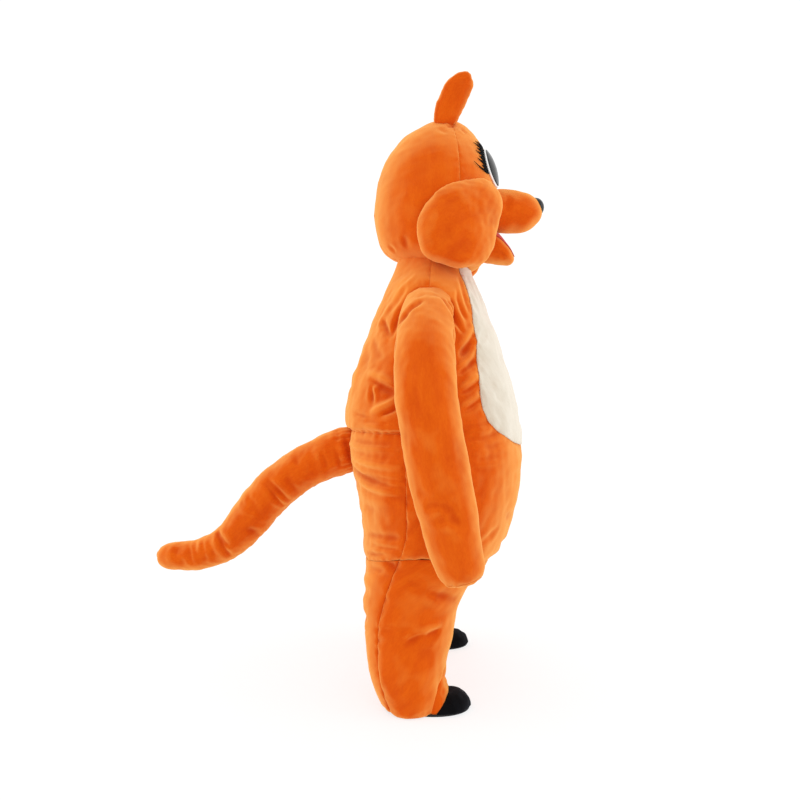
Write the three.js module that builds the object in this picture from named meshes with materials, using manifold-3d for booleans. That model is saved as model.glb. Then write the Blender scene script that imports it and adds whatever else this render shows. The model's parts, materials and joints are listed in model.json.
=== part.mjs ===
// A kangaroo mascot costume, worn: a plush suit with sleeves, mitts, legs, feet and a stuffed tail,
// and a foam-backed head that stands on the suit's neck. Millimetres, +Z up, the face towards -Y.
// The costume hangs on its wearer's shoulders, and the origin is between them.
//
// Each large piece of cloth is a wall on a form. A form is a table of level sections, one row for
// each height, and every panel is a stretch of its form between two seams.
import * as THREE from "three";
import { mergeVertices } from "three/addons/utils/BufferGeometryUtils.js";
import Module from "manifold-3d";

const wasm = await Module();
wasm.setup();

const SHOULDER_HEIGHT = 1300; // the wearer's shoulders above the floor
const PLUSH = 3; // short-pile plush on its knitted backing
const FOAM = 10; // plush over the foam sheet that the head is built from
const FELT = 2.5;
const SEAM = 0.3; // daylight left between two pieces that are sewn together
const CUT = SEAM + 0.1; // a piece that is trimmed to its neighbour keeps this clear of it
const WAIST_SEAM = 824;
const LEG_SEAM = 404;
const LEG_TOP = LEG_SEAM - SEAM;
const SOLE = 6;
const HEM = 2; // the trouser hems just clear the floor
const NECK_RISE = 20; // the neck's edge is this much higher at the back, and lower at the front
const HEAD_TURN = 7;
const FOOT_X = -259; // the right foot's middle

const rad = THREE.MathUtils.degToRad;
const lerp = THREE.MathUtils.lerp;

// ---- Forms -------------------------------------------------------------------------------------

// The torso, from the leg seam up to the neck. front and back are the reach from the middle plane,
// half is the half width, and square is 2 for an ellipse and more for fuller corners. rise lifts a
// section's back and lowers its front, and lift raises its sides, as the leg seam rises to the hips.
const TORSO = [
  { height: LEG_SEAM, front: 190, back: 222, half: 322, rise: 0, square: 2.5, lift: 50 },
  { height: 440, front: 226, back: 229, half: 332, rise: 0, square: 2.4, lift: 34 },
  { height: 500, front: 252, back: 234, half: 341, rise: 0, square: 2.3, lift: 14 },
  { height: 570, front: 274, back: 240, half: 348, rise: 0, square: 2.3, lift: 3 },
  { height: 645, front: 292, back: 256, half: 351, rise: 0, square: 2.2, lift: 0 },
  { height: 720, front: 300, back: 273, half: 349, rise: 0, square: 2.2, lift: 0 },
  { height: 780, front: 296, back: 280, half: 344, rise: 0, square: 2.2, lift: 0 },
  { height: WAIST_SEAM, front: 290, back: 276, half: 336, rise: 0, square: 2.2, lift: 0 },
  { height: 838, front: 288, back: 291, half: 341, rise: 0, square: 2.2, lift: 0 },
  { height: 872, front: 283, back: 293, half: 336, rise: 0, square: 2.2, lift: 0 },
  { height: 940, front: 271, back: 285, half: 319, rise: 0, square: 2.2, lift: 0 },
  { height: 1020, front: 249, back: 262, half: 299, rise: 0, square: 2.1, lift: 0 },
  { height: 1100, front: 224, back: 236, half: 275, rise: 0, square: 2.1, lift: 0 },
  { height: 1175, front: 198, back: 209, half: 250, rise: 0, square: 2.1, lift: 0 },
  { height: 1240, front: 174, back: 183, half: 222, rise: 0, square: 2, lift: 0 },
  { height: 1295, front: 150, back: 158, half: 190, rise: 4, square: 2, lift: 0 },
  { height: 1342, front: 132, back: 135, half: 152, rise: 12, square: 2, lift: 0 },
  { height: 1382, front: 124, back: 120, half: 122, rise: NECK_RISE, square: 2, lift: 0 },
];

// The right leg, from the leg seam down to the sole. centre is its middle's distance from the
// costume's middle plane, and outer and inner are its reach to either side of that. lift raises its
// outer side alone.
const LEG = [
  { height: LEG_TOP, front: 190, back: 222, centre: 0.3, outer: 321.7, inner: 0, square: 2.5, lift: 50 },
  { height: 376, front: 168, back: 219, centre: 46, outer: 274, inner: 42, square: 2.4, lift: 40 },
  { height: 334, front: 120, back: 212, centre: 128, outer: 194, inner: 110, square: 2.3, lift: 20 },
  { height: 275, front: 85, back: 208, centre: 178, outer: 151, inner: 136, square: 2.3, lift: 6 },
  { height: 205, front: 70, back: 202, centre: 200, outer: 142, inner: 134, square: 2.2, lift: 0 },
  { height: 140, front: 55, back: 195, centre: 217, outer: 137, inner: 127, square: 2.2, lift: 0 },
  { height: 80, front: 42, back: 179, centre: 234, outer: 129, inner: 117, square: 2.2, lift: 0 },
  { height: 32, front: 34, back: 158, centre: 249, outer: 114, inner: 103, square: 2.2, lift: 0 },
  { height: HEM, front: 28, back: 140, centre: 256, outer: 101, inner: 92, square: 2.2, lift: 0 },
];

// The head's skull, from the edge that stands on the suit's neck up to the crown.
const SKULL = [
  { height: 1382 + SEAM, front: 124, back: 120, half: 122, rise: NECK_RISE, square: 2 },
  { height: 1400, front: 162, back: 149, half: 163, rise: 16, square: 2 },
  { height: 1436, front: 193, back: 176, half: 193, rise: 10, square: 2 },
  { height: 1500, front: 213, back: 193, half: 213, rise: 3, square: 2.1 },
  { height: 1575, front: 221, back: 198, half: 221, rise: 0, square: 2.1 },
  { height: 1650, front: 213, back: 190, half: 215, rise: 0, square: 2.1 },
  { height: 1720, front: 193, back: 164, half: 195, rise: 0, square: 2.1 },
  { height: 1781, front: 162, back: 123, half: 159, rise: 0, square: 2 },
  { height: 1825, front: 131, back: 76, half: 115, rise: 0, square: 2 },
  { height: 1852, front: 101, back: 24, half: 69, rise: 0, square: 2 },
  { height: 1862, front: 75, back: -9, half: 37, rise: 0, square: 2 },
  { height: 1866, front: 43, back: -37, half: 3, rise: 0, square: 2 },
];

// The right sleeve's middle line, from inside the shoulder to the mitt. wide is the half width from
// front to back, and thick the half width from the body outwards.
const SLEEVE = [
  { x: -150, y: 5, height: 1226, wide: 76, thick: 72 },
  { x: -266, y: 8, height: 1160, wide: 84, thick: 78 },
  { x: -354, y: 10, height: 1070, wide: 89, thick: 79 },
  { x: -406, y: 4, height: 960, wide: 88, thick: 76 },
  { x: -429, y: -12, height: 840, wide: 87, thick: 75 },
  { x: -439, y: -38, height: 700, wide: 87, thick: 74 },
  { x: -441, y: -70, height: 560, wide: 79, thick: 68 },
  { x: -438, y: -93, height: 465, wide: 67, thick: 57 },
  { x: -436, y: -101, height: 428, wide: 53, thick: 44 },
];

// The tail's middle line in the middle plane, from inside the back to the tip.
const TAIL = [
  { y: 235, height: 764, radius: 76 },
  { y: 300, height: 750, radius: 79 },
  { y: 362, height: 729, radius: 78 },
  { y: 425, height: 700, radius: 75 },
  { y: 487, height: 662, radius: 75 },
  { y: 545, height: 617, radius: 74 },
  { y: 594, height: 567, radius: 71 },
  { y: 640, height: 510, radius: 71 },
  { y: 692, height: 452, radius: 65 },
  { y: 752, height: 406, radius: 58 },
  { y: 826, height: 379, radius: 53 },
  { y: 895, height: 372, radius: 49 },
  { y: 940, height: 374, radius: 43 },
  { y: 963, height: 377, radius: 30 },
  { y: 971, height: 378, radius: 14 },
];

// The right ear's middle line. wide is its half width from front to back.
const EAR = [
  { x: -92, y: -25, height: 1808, wide: 33, thick: 16 },
  { x: -105, y: -32, height: 1837, wide: 39, thick: 21 },
  { x: -129, y: -45, height: 1874, wide: 45, thick: 23 },
  { x: -163, y: -64, height: 1908, wide: 44, thick: 21 },
  { x: -186, y: -83, height: 1929, wide: 35, thick: 17 },
  { x: -198, y: -94, height: 1936, wide: 23, thick: 12 },
  { x: -202, y: -100, height: 1939, wide: 10, thick: 6 },
];

// The snout and the lower jaw stand out of the face in the middle plane, one row for each distance
// in front of it. middle is the height of the section's centre.
const SNOUT = [
  { reach: 170, middle: 1570, half: 82, tall: 74 },
  { reach: 225, middle: 1572, half: 78, tall: 74 },
  { reach: 267, middle: 1571, half: 74, tall: 73 },
  { reach: 311, middle: 1569, half: 67, tall: 66 },
  { reach: 341, middle: 1569, half: 56, tall: 53 },
  { reach: 361, middle: 1567, half: 40, tall: 35 },
  { reach: 372, middle: 1565, half: 20, tall: 16 },
];
const JAW = [
  { reach: 158, middle: 1465, half: 74, tall: 66 },
  { reach: 196, middle: 1455, half: 74, tall: 60 },
  { reach: 221, middle: 1442, half: 70, tall: 52 },
  { reach: 244, middle: 1427, half: 60, tall: 39 },
  { reach: 262, middle: 1414, half: 46, tall: 27 },
  { reach: 273, middle: 1408, half: 30, tall: 16 },
  { reach: 278, middle: 1407, half: 14, tall: 7 },
];

// The largest folds in the cloth, each a soft trough from one place to another. Angles are from the
// front as in a section, and a negative depth goes into the cloth.
const TORSO_FOLDS = [
  { fromAngle: 127, fromHeight: 1205, toAngle: 119, toHeight: 1090, depth: -10, width: 34 },
  { fromAngle: 134, fromHeight: 985, toAngle: 109, toHeight: 930, depth: -15, width: 34 },
  { fromAngle: 140, fromHeight: 872, toAngle: 104, toHeight: 882, depth: -7, width: 28 },
  { fromAngle: 69, fromHeight: 1265, toAngle: 67, toHeight: 1130, depth: -9, width: 30 },
  { fromAngle: 76, fromHeight: 1060, toAngle: 70, toHeight: 950, depth: -10, width: 30 },
  { fromAngle: 160, fromHeight: 735, toAngle: 108, toHeight: 715, depth: -7, width: 30 },
  { fromAngle: 150, fromHeight: 520, toAngle: 108, toHeight: 525, depth: -6, width: 28 },
];
const LEG_FOLDS = [
  { fromAngle: 20, fromHeight: 236, toAngle: 100, toHeight: 205, depth: -9, width: 24 },
  { fromAngle: 120, fromHeight: 330, toAngle: 175, toHeight: 318, depth: -7, width: 22 },
];

// A table's row at t, counted from its first row, with the rows joined by a smooth curve.
function rowAt(table, t) {
  const last = table.length - 1;
  const i = THREE.MathUtils.clamp(Math.floor(t), 0, last - 1);
  const f = t - i;
  const [a, b, c, d] = [i - 1, i, i + 1, i + 2].map((n) => table[THREE.MathUtils.clamp(n, 0, last)]);
  const mixed = {};
  for (const key of Object.keys(b)) {
    const m0 = (c[key] - a[key]) / 2;
    const m1 = (d[key] - b[key]) / 2;
    const cubic = 2 * b[key] - 2 * c[key] + m0 + m1;
    const square = 3 * c[key] - 3 * b[key] - 2 * m0 - m1;
    mixed[key] = ((cubic * f + square) * f + m0) * f + b[key];
  }
  return mixed;
}

// Where a form's table reaches a height, counted in rows.
function rowOf(table, height) {
  let [low, high] = [0, table.length - 1];
  const up = table[high].height > table[0].height;
  for (let n = 0; n < 40; n++) {
    const middle = (low + high) / 2;
    if (rowAt(table, middle).height < height === up) low = middle;
    else high = middle;
  }
  return (low + high) / 2;
}

// How far the folds push a place out, or in. Across a section they are measured along its average
// radius, and left and right fold alike.
function foldedBy(folds, row, angle) {
  const averageRadius = ((row.half ?? row.outer) + (row.front + row.back) / 2) / 2;
  const millimetresPerDegree = rad(averageRadius);
  const turn = Math.abs(((((angle + 180) % 360) + 360) % 360) - 180);
  return folds.reduce((sum, { fromAngle, fromHeight, toAngle, toHeight, depth, width }) => {
    const along = [(toAngle - fromAngle) * millimetresPerDegree, toHeight - fromHeight];
    const here = [(turn - fromAngle) * millimetresPerDegree, row.height - fromHeight];
    const share = (here[0] * along[0] + here[1] * along[1]) / (along[0] ** 2 + along[1] ** 2);
    const nearest = THREE.MathUtils.clamp(share, 0, 1);
    const away = Math.hypot(here[0] - nearest * along[0], here[1] - nearest * along[1]);
    return sum + depth * Math.exp(-((away / width) ** 2));
  }, 0);
}

// The point of a level section at an angle, in degrees: 0 is the front, 90 the right or outer side
// and 180 the back.
function sectionPoint(row, angle) {
  const [s, c] = [Math.sin(rad(angle)), Math.cos(rad(angle))];
  const reach = (Math.abs(s) ** row.square + Math.abs(c) ** row.square) ** (-1 / row.square);
  const side = row.half ?? (s > 0 ? row.outer : row.inner);
  const depth = (row.front + row.back) / 2;
  const lift = row.half || s > 0 ? (row.lift ?? 0) * s * s : 0;
  return new THREE.Vector3(
    -(row.centre ?? 0) - side * s * reach,
    (row.back - row.front) / 2 - depth * c * reach,
    row.height - (row.rise ?? 0) * c + lift,
  );
}

// The outward normal of a surface given as a function of two numbers, by small steps.
function normalOf(surface, u, v, du, dv) {
  const across = surface(u + du, v).sub(surface(u - du, v));
  const along = surface(u, v + dv).sub(surface(u, v - dv));
  return across.cross(along).normalize();
}

// A form's surface as a function of the angle and the row, and its normal, which faces out. The
// normal is taken a hair inside the form's ends, and beside the line where its two halves meet.
const HAIR = 0.01;
function formSurface(table, folds = []) {
  const smooth = (angle, t) => sectionPoint(rowAt(table, t), angle);
  const turn = table[0].height < table[table.length - 1].height ? -1 : 1;
  const last = table.length - 1;
  const normalOn = (surface) => (angle, t) => {
    const inside = THREE.MathUtils.clamp(t, 2 * HAIR, last - 2 * HAIR);
    const beside = Math.abs(((angle % 180) + 180) % 180) < HAIR ? angle + 2 * HAIR : angle;
    return normalOf(surface, beside, inside, HAIR, HAIR).multiplyScalar(turn);
  };
  const out = normalOn(smooth);
  const point = (angle, t) =>
    smooth(angle, t).addScaledVector(out(angle, t), foldedBy(folds, rowAt(table, t), angle));
  return { point, normal: normalOn(point), table, rowOf: (height) => rowOf(table, height) };
}
const torso = formSurface(TORSO, TORSO_FOLDS);
const leg = formSurface(LEG, LEG_FOLDS);
const skull = formSurface(SKULL);

// ---- Solids ------------------------------------------------------------------------------------

function geometryOf(points, faces) {
  const geometry = new THREE.BufferGeometry();
  const position = points.flatMap((p) => [p.x, p.y, p.z]);
  geometry.setAttribute("position", new THREE.Float32BufferAttribute(position, 3));
  geometry.setIndex(faces.flat());
  return geometry;
}

function merged(geometry) {
  const plain = geometry.clone();
  plain.deleteAttribute("normal");
  plain.deleteAttribute("uv");
  return mergeVertices(plain, 1e-3);
}

function solidOf(geometry) {
  const { attributes, index } = merged(geometry);
  const mesh = new wasm.Mesh({
    numProp: 3,
    vertProperties: new Float32Array(attributes.position.array),
    triVerts: new Uint32Array(index.array),
  });
  return new wasm.Manifold(mesh);
}

function geometryFrom(solid) {
  const mesh = solid.getMesh();
  const geometry = new THREE.BufferGeometry();
  const position = new Float32Array(mesh.numVert * 3);
  for (let i = 0; i < mesh.numVert; i++) {
    const at = i * mesh.numProp;
    position.set(mesh.vertProperties.subarray(at, at + 3), i * 3);
  }
  geometry.setAttribute("position", new THREE.BufferAttribute(position, 3));
  geometry.setIndex([...mesh.triVerts]);
  return geometry;
}

// The largest piece of what a boolean leaves.
function mainPiece(solid) {
  return solid.decompose().sort((a, b) => b.volume() - a.volume())[0];
}

// A closed wall between two grids of points, outer and inner, each a list of rows. A ring's rows
// close on themselves, and an even wall crosses the middle plane with two like halves.
function wall(outer, inner, { ring = false, even = false } = {}) {
  const [rows, columns] = [outer.length, outer[0].length];
  const points = [...outer.flat(), ...inner.flat()];
  const at = (side, r, c) => side * rows * columns + r * columns + (c % columns);
  const faces = [];
  const quad = (a, b, c, d) => faces.push([a, b, c], [a, c, d]);
  const spans = ring ? columns : columns - 1;
  for (let r = 0; r < rows - 1; r++)
    for (let c = 0; c < spans; c++)
      for (const side of [0, 1]) {
        const [near, far] = side ? [r + 1, r] : [r, r + 1];
        const [a, b] = [at(side, near, c), at(side, near, c + 1)];
        const [d, e] = [at(side, far, c), at(side, far, c + 1)];
        const split = (even && c < spans / 2) !== (side === 1);
        if (split) quad(b, e, d, a);
        else quad(a, b, e, d);
      }
  for (let c = 0; c < spans; c++) {
    quad(at(0, 0, c), at(1, 0, c), at(1, 0, c + 1), at(0, 0, c + 1));
    const end = rows - 1;
    quad(at(0, end, c), at(0, end, c + 1), at(1, end, c + 1), at(1, end, c));
  }
  if (!ring)
    for (let r = 0; r < rows - 1; r++) {
      quad(at(0, r + 1, 0), at(1, r + 1, 0), at(1, r, 0), at(0, r, 0));
      const end = columns - 1;
      quad(at(0, r + 1, end), at(0, r, end), at(1, r, end), at(1, r + 1, end));
    }
  return facingOut(geometryOf(points, faces));
}

// A closed lump from rings of points, with a flat fan over each end.
function lump(rings) {
  const columns = rings[0].length;
  const middle = (ring) =>
    ring.reduce((sum, p) => sum.add(p), new THREE.Vector3()).divideScalar(columns);
  const points = [...rings.flat(), middle(rings[0]), middle(rings[rings.length - 1])];
  const at = (r, c) => r * columns + (c % columns);
  const faces = [];
  for (let c = 0; c < columns; c++) {
    for (let r = 0; r < rings.length - 1; r++)
      faces.push([at(r, c), at(r, c + 1), at(r + 1, c + 1)], [at(r, c), at(r + 1, c + 1), at(r + 1, c)]);
    const last = rings.length - 1;
    faces.push([points.length - 2, at(0, c + 1), at(0, c)]);
    faces.push([points.length - 1, at(last, c), at(last, c + 1)]);
  }
  return facingOut(geometryOf(points, faces));
}

// The same geometry with its faces turned round if they point inwards.
function facingOut(geometry) {
  const p = geometry.attributes.position;
  const index = [...geometry.index.array];
  const corner = (i) => new THREE.Vector3().fromBufferAttribute(p, index[i]);
  let volume = 0;
  for (let i = 0; i < index.length; i += 3)
    volume += corner(i).dot(corner(i + 1).cross(corner(i + 2)));
  if (volume < 0)
    for (let i = 0; i < index.length; i += 3) [index[i + 1], index[i + 2]] = [index[i + 2], index[i + 1]];
  geometry.setIndex(index);
  return geometry;
}

// A panel of a form between two seams: rows are the places in the form's table, and anglesAt gives
// the columns' angles at a height. The edges named in level lie flat in their seam's plane.
function panel(form, rows, anglesAt, thickness, level = {}, even = false) {
  const [outer, inner] = [[], []];
  rows.forEach((t, r) => {
    const plane = r === 0 ? level.first : r === rows.length - 1 ? level.last : null;
    const angles = anglesAt(rowAt(form.table, t));
    outer.push(angles.map((angle) => form.point(angle, t)));
    inner.push(
      angles.map((angle, c) => {
        const inwards = form.normal(angle, t).negate();
        if (plane) inwards.projectOnPlane(plane).normalize();
        return outer[r][c].clone().addScaledVector(inwards, thickness);
      }),
    );
  });
  return wall(outer, inner, { even });
}

// A form filled solid and grown by a margin, to cut other pieces to it.
function filled(form, rows, anglesAt, margin) {
  const grown = (angle, t) => form.point(angle, t).addScaledVector(form.normal(angle, t), margin);
  const ring = (t) => anglesAt(rowAt(form.table, t)).map((angle) => grown(angle, t));
  return lump(rows.map(ring));
}

// A whole form from its right half, whose points on the middle plane are first moved over it, so
// that the two halves join.
const JOIN = 0.5;
function bothHalves(half) {
  const p = half.attributes.position;
  for (let i = 0; i < p.count; i++) if (Math.abs(p.getX(i)) < JOIN / 2) p.setX(i, JOIN);
  return solidOf(half).add(solidOf(mirrored(half)));
}

// A round limb along a table of middle points. The rings stand square to the middle line, and each
// ring's wide axis stays as near across as it can, which is front to back. grow widens the limb.
function limbRings(table, places, sides, grow = 0, across = new THREE.Vector3(0, 1, 0)) {
  const centre = (t) => {
    const row = rowAt(table, t);
    return new THREE.Vector3(row.x ?? 0, row.y, row.height);
  };
  return places.map((t) => {
    const row = rowAt(table, t);
    const along = centre(t + 0.01).sub(centre(t - 0.01)).normalize();
    const wide = across.clone().projectOnPlane(along).normalize();
    const thick = new THREE.Vector3().crossVectors(along, wide);
    return Array.from({ length: sides }, (_, i) => {
      const turn = (2 * Math.PI * i) / sides;
      return centre(t)
        .addScaledVector(wide, ((row.wide ?? row.radius) + grow) * Math.cos(turn))
        .addScaledVector(thick, ((row.thick ?? row.radius) + grow) * Math.sin(turn));
    });
  });
}

// A muzzle piece: upright sections along the table's reach in front of the middle plane.
function muzzleRings(table, places, sides, grow = 0) {
  return places.map((t) => {
    const row = rowAt(table, t);
    return Array.from({ length: sides }, (_, i) => {
      const turn = (2 * Math.PI * i) / sides;
      return new THREE.Vector3(
        (row.half + grow) * Math.cos(turn),
        -row.reach,
        row.middle + (row.tall + grow) * Math.sin(turn),
      );
    });
  });
}

const steps = (from, to, count) => Array.from({ length: count + 1 }, (_, i) => lerp(from, to, i / count));

const mirrored = (geometry) => facingOut(geometry.clone().scale(-1, 1, 1));

// ---- Materials and the assembly ----------------------------------------------------------------

const material = (color, roughness, metalness = 0) =>
  new THREE.MeshStandardMaterial({ color, roughness, metalness });
const ORANGE = material("#e8691c", 0.95);
const CREAM = material("#ece2d0", 0.95);
const RED = material("#c22a23", 0.85);
const BLACK_CLOTH = material("#0b0b0d", 0.85);
const BLACK_GLOSS = material("#0d0f13", 0.15);
const WHITE_GLOSS = material("#f4f4f2", 0.3);

const costume = new THREE.Group();
const standing = new THREE.Group(); // its own zero is the floor
standing.position.z = -SHOULDER_HEIGHT;
costume.add(standing);

function add(name, geometry, finish, group = standing) {
  const mesh = new THREE.Mesh(geometry, finish);
  mesh.name = name;
  group.add(mesh);
}
function addPair(name, geometry, finish, group) {
  add(name + "_right", geometry, finish, group);
  add(name + "_left", mirrored(geometry), finish, group);
}

// ---- The suit's body ---------------------------------------------------------------------------

const UP = new THREE.Vector3(0, 0, 1);
const neck = TORSO[TORSO.length - 1];
const NECK_PLANE = new THREE.Vector3(0, (-2 * NECK_RISE) / (neck.front + neck.back), 1).normalize();
const BELLY_COLUMNS = 4; // of a front panel's columns, those under the belly panel
const OUTER_COLUMNS = 4; // and those beside it
const BACK_COLUMNS = 7;

// The side seam's angle at each height: it runs down behind the leg, and under the arm it lies a
// little behind the middle.
const SIDE_SEAM = [
  { height: 0, angle: 130 },
  { height: 40, angle: 129 },
  { height: 100, angle: 128 },
  { height: 180, angle: 129 },
  { height: 235, angle: 127 },
  { height: 304, angle: 121 },
  { height: 361, angle: 115 },
  { height: 404, angle: 110 },
  { height: 503, angle: 108 },
  { height: 630, angle: 108 },
  { height: 723, angle: 106 },
  { height: 820, angle: 101 },
  { height: 1080, angle: 93 },
  { height: 1280, angle: 89 },
  { height: 1400, angle: 90 },
];
const sideSeam = (height) => rowAt(SIDE_SEAM, rowOf(SIDE_SEAM, height)).angle;

// The belly panel's edge, which a column of each front panel follows.
const BELLY_EDGE = [
  { height: 380, angle: 48 },
  { height: 780, angle: 52 },
  { height: 930, angle: 56 },
  { height: 1000, angle: 55 },
  { height: 1080, angle: 51.5 },
  { height: 1160, angle: 48.5 },
  { height: 1240, angle: 45.5 },
  { height: 1310, angle: 44 },
  { height: 1350, angle: 45.5 },
  { height: 1400, angle: 48 },
];
const BELLY_FOOT = 778; // the lowest height of its round foot
const BELLY_SIDE = 910; // the first of the front's rows above this is where the foot's curve starts
const bellyEdge = (height) => rowAt(BELLY_EDGE, rowOf(BELLY_EDGE, height)).angle;

// The columns between two seams, drawn back from each so that the panels don't touch.
const halfGap = (row) => {
  const radius = Math.min(row.half ?? row.outer, (row.front + row.back) / 2);
  return THREE.MathUtils.radToDeg(SEAM / 2 / radius);
};
const between = (from, to, count, row) => steps(from + halfGap(row), to - halfGap(row), count);

const lastTorsoRow = TORSO.length - 1;
const waistRow = TORSO.findIndex((row) => row.height === WAIST_SEAM);
// Close rows, in parts of the table's own, shape the crease at the waist seam.
const BELOW_WAIST = 0.3;
const ABOVE_WAIST = 0.35;
const seatRows = [...steps(0, waistRow - 1, waistRow - 1), waistRow - BELOW_WAIST];
const backRows = [
  waistRow + ABOVE_WAIST,
  ...steps(waistRow + 1, lastTorsoRow, lastTorsoRow - waistRow - 1),
];
const waistGap = torso.rowOf(WAIST_SEAM - SEAM / 2);
const waistEdge = torso.rowOf(WAIST_SEAM + SEAM / 2);
const seat = [...seatRows, waistGap];
const upperBack = [waistEdge, ...backRows];
const frontRows = [...seatRows, waistRow, ...backRows];
const bellySideRow = torso.rowOf(BELLY_SIDE);
const bellyRowHeight = rowAt(TORSO, frontRows.find((t) => t > bellySideRow)).height;

const frontAngles = (row) => [
  ...steps(halfGap(row), bellyEdge(row.height), BELLY_COLUMNS),
  ...steps(bellyEdge(row.height), sideSeam(row.height) - halfGap(row), OUTER_COLUMNS).slice(1),
];
const backAngles = (row) => between(sideSeam(row.height), 180, BACK_COLUMNS, row);
const torsoAngles = (row) => [
  ...steps(0, bellyEdge(row.height), BELLY_COLUMNS),
  ...steps(bellyEdge(row.height), sideSeam(row.height), OUTER_COLUMNS).slice(1),
  ...steps(sideSeam(row.height), 180, BACK_COLUMNS).slice(1),
];
const torsoFilled = bothHalves(filled(torso, frontRows, torsoAngles, CUT));

// The sleeve is one tube. It is cut to the body, and the body is opened inside it for the arm.
const SLEEVE_SIDES = 12;
const lastSleeveRow = SLEEVE.length - 1;
const sleevePlaces = steps(0, lastSleeveRow, 10);
const ARM_EASE = 4; // the body's opening is this much smaller all round than the sleeve's inside
const ARM_REACH = 4; // rows of the sleeve's table that the opening is cut along
const sleeveOuter = limbRings(SLEEVE, sleevePlaces, SLEEVE_SIDES);
const sleeveInner = limbRings(SLEEVE, sleevePlaces, SLEEVE_SIDES, -PLUSH);
const sleeve = mainPiece(solidOf(wall(sleeveOuter, sleeveInner, { ring: true })).subtract(torsoFilled));
const armPlaces = steps(0, ARM_REACH, 6);
const armhole = solidOf(lump(limbRings(SLEEVE, armPlaces, SLEEVE_SIDES, -PLUSH - ARM_EASE)));
const cutForArm = (geometry) => geometryFrom(mainPiece(solidOf(geometry).subtract(armhole)));

const front = panel(torso, frontRows, frontAngles, PLUSH, { first: UP, last: NECK_PLANE });
const back = panel(torso, upperBack, backAngles, PLUSH, { first: UP, last: NECK_PLANE });
addPair("front_panel", cutForArm(front), ORANGE);
addPair("upper_back", cutForArm(back), ORANGE);
addPair("seat", panel(torso, seat, backAngles, PLUSH, { first: UP, last: UP }), ORANGE);
addPair("sleeve", geometryFrom(sleeve), ORANGE);

// The mitt's end closes the sleeve: share is a ring's size against the sleeve's last one, and drop
// its distance past it.
const MITT_END = [
  { share: 1, drop: SEAM },
  { share: 0.86, drop: 8 },
  { share: 0.5, drop: 13 },
];
const mittAlong = new THREE.Vector3(
  SLEEVE[lastSleeveRow].x - SLEEVE[lastSleeveRow - 1].x,
  SLEEVE[lastSleeveRow].y - SLEEVE[lastSleeveRow - 1].y,
  SLEEVE[lastSleeveRow].height - SLEEVE[lastSleeveRow - 1].height,
).normalize();
const mittEdge = sleeveOuter[sleeveOuter.length - 1];
const mittMiddle = mittEdge.reduce((sum, p) => sum.add(p), new THREE.Vector3()).divideScalar(SLEEVE_SIDES);
const mittRings = MITT_END.map(({ share, drop }) =>
  mittEdge.map((p) => mittMiddle.clone().lerp(p, share).addScaledVector(mittAlong, drop)),
);
addPair("mitt_end", lump(mittRings), ORANGE);

// The cream belly panel lies on the fronts, made from their points moved out. Its foot is round.
const BELLY_GAP = 0.8;
const BELLY_FOOT_GAP = 3.2; // where its points lie between the fronts' own
const FOOT_LAYERS = [0, 0.45]; // from the foot's edge to the first row above it
const FOOT_DROP = 8; // the foot's curve ends this far below that row
const FOOT_ROUND = 0.998; // of the curve's full width, so that its ends aren't upright
const FOOT_SQUARE = 2.4; // 2 would be an ellipse, and more is fuller at the corners
const bellyRows = frontRows.filter((t) => t > bellySideRow && t < lastTorsoRow);
const bellyColumns = (row) => {
  const half = frontAngles(row).slice(1, BELLY_COLUMNS + 1);
  return [...half.map((angle) => -angle).reverse(), 0, ...half];
};
const bellyFoot = (share) => {
  const edge = bellyEdge(bellyRowHeight);
  return steps(-1, 1, 2 * BELLY_COLUMNS).map((across) => {
    const curve = 1 - (1 - Math.abs(across) ** FOOT_SQUARE * FOOT_ROUND) ** (1 / FOOT_SQUARE);
    const foot = lerp(BELLY_FOOT, bellyRowHeight - FOOT_DROP, curve);
    return [edge * across, torso.rowOf(lerp(foot, bellyRowHeight, share))];
  });
};
const onTorso = ([angle, t], by) => torso.point(angle, t).addScaledVector(torso.normal(angle, t), by);
const bellyTop = lastTorsoRow - 0.1; // a finger under the neck's edge
const bellyPlaces = [
  ...FOOT_LAYERS.map(bellyFoot),
  ...bellyRows.map((t) => bellyColumns(rowAt(TORSO, t)).map((angle) => [angle, t])),
  bellyColumns(TORSO[lastTorsoRow]).map((angle) => [angle, bellyTop]),
];
const bellyLayer = (by) =>
  bellyPlaces.map((row, r) => {
    const gap = r < FOOT_LAYERS.length ? BELLY_FOOT_GAP : BELLY_GAP;
    return row.map((place) => onTorso(place, by + gap));
  });
add("belly_panel", wall(bellyLayer(PLUSH), bellyLayer(0), { even: true }), CREAM);

// A zip's tape closes the middle of the back, inside the seam.
const TAPE = { angles: [177, 180, 183], gap: 1.4, thick: 1.2 };
const tapeLayer = (depth) => upperBack.map((t) => TAPE.angles.map((angle) => onTorso([angle, t], -depth)));
const tapeDepth = PLUSH + TAPE.gap;
add("back_zip", wall(tapeLayer(tapeDepth), tapeLayer(tapeDepth + TAPE.thick), { even: true }), BLACK_CLOTH);

// ---- The legs and feet -------------------------------------------------------------------------

const lastLegRow = LEG.length - 1;
const legRows = steps(0, lastLegRow, lastLegRow);
const INNER_COLUMNS = 3; // on the inside of the leg; outside, its columns run on from the torso's
const legFrontAngles = (row) => [
  ...steps(-90 + halfGap(row), 0, INNER_COLUMNS).slice(0, -1),
  ...frontAngles(row),
];
const legBackAngles = (row) => [
  ...backAngles(row),
  ...steps(180, 270 - halfGap(row), INNER_COLUMNS).slice(1),
];
const legAngles = (row) => [...legFrontAngles(row), ...legBackAngles(row)];

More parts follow.
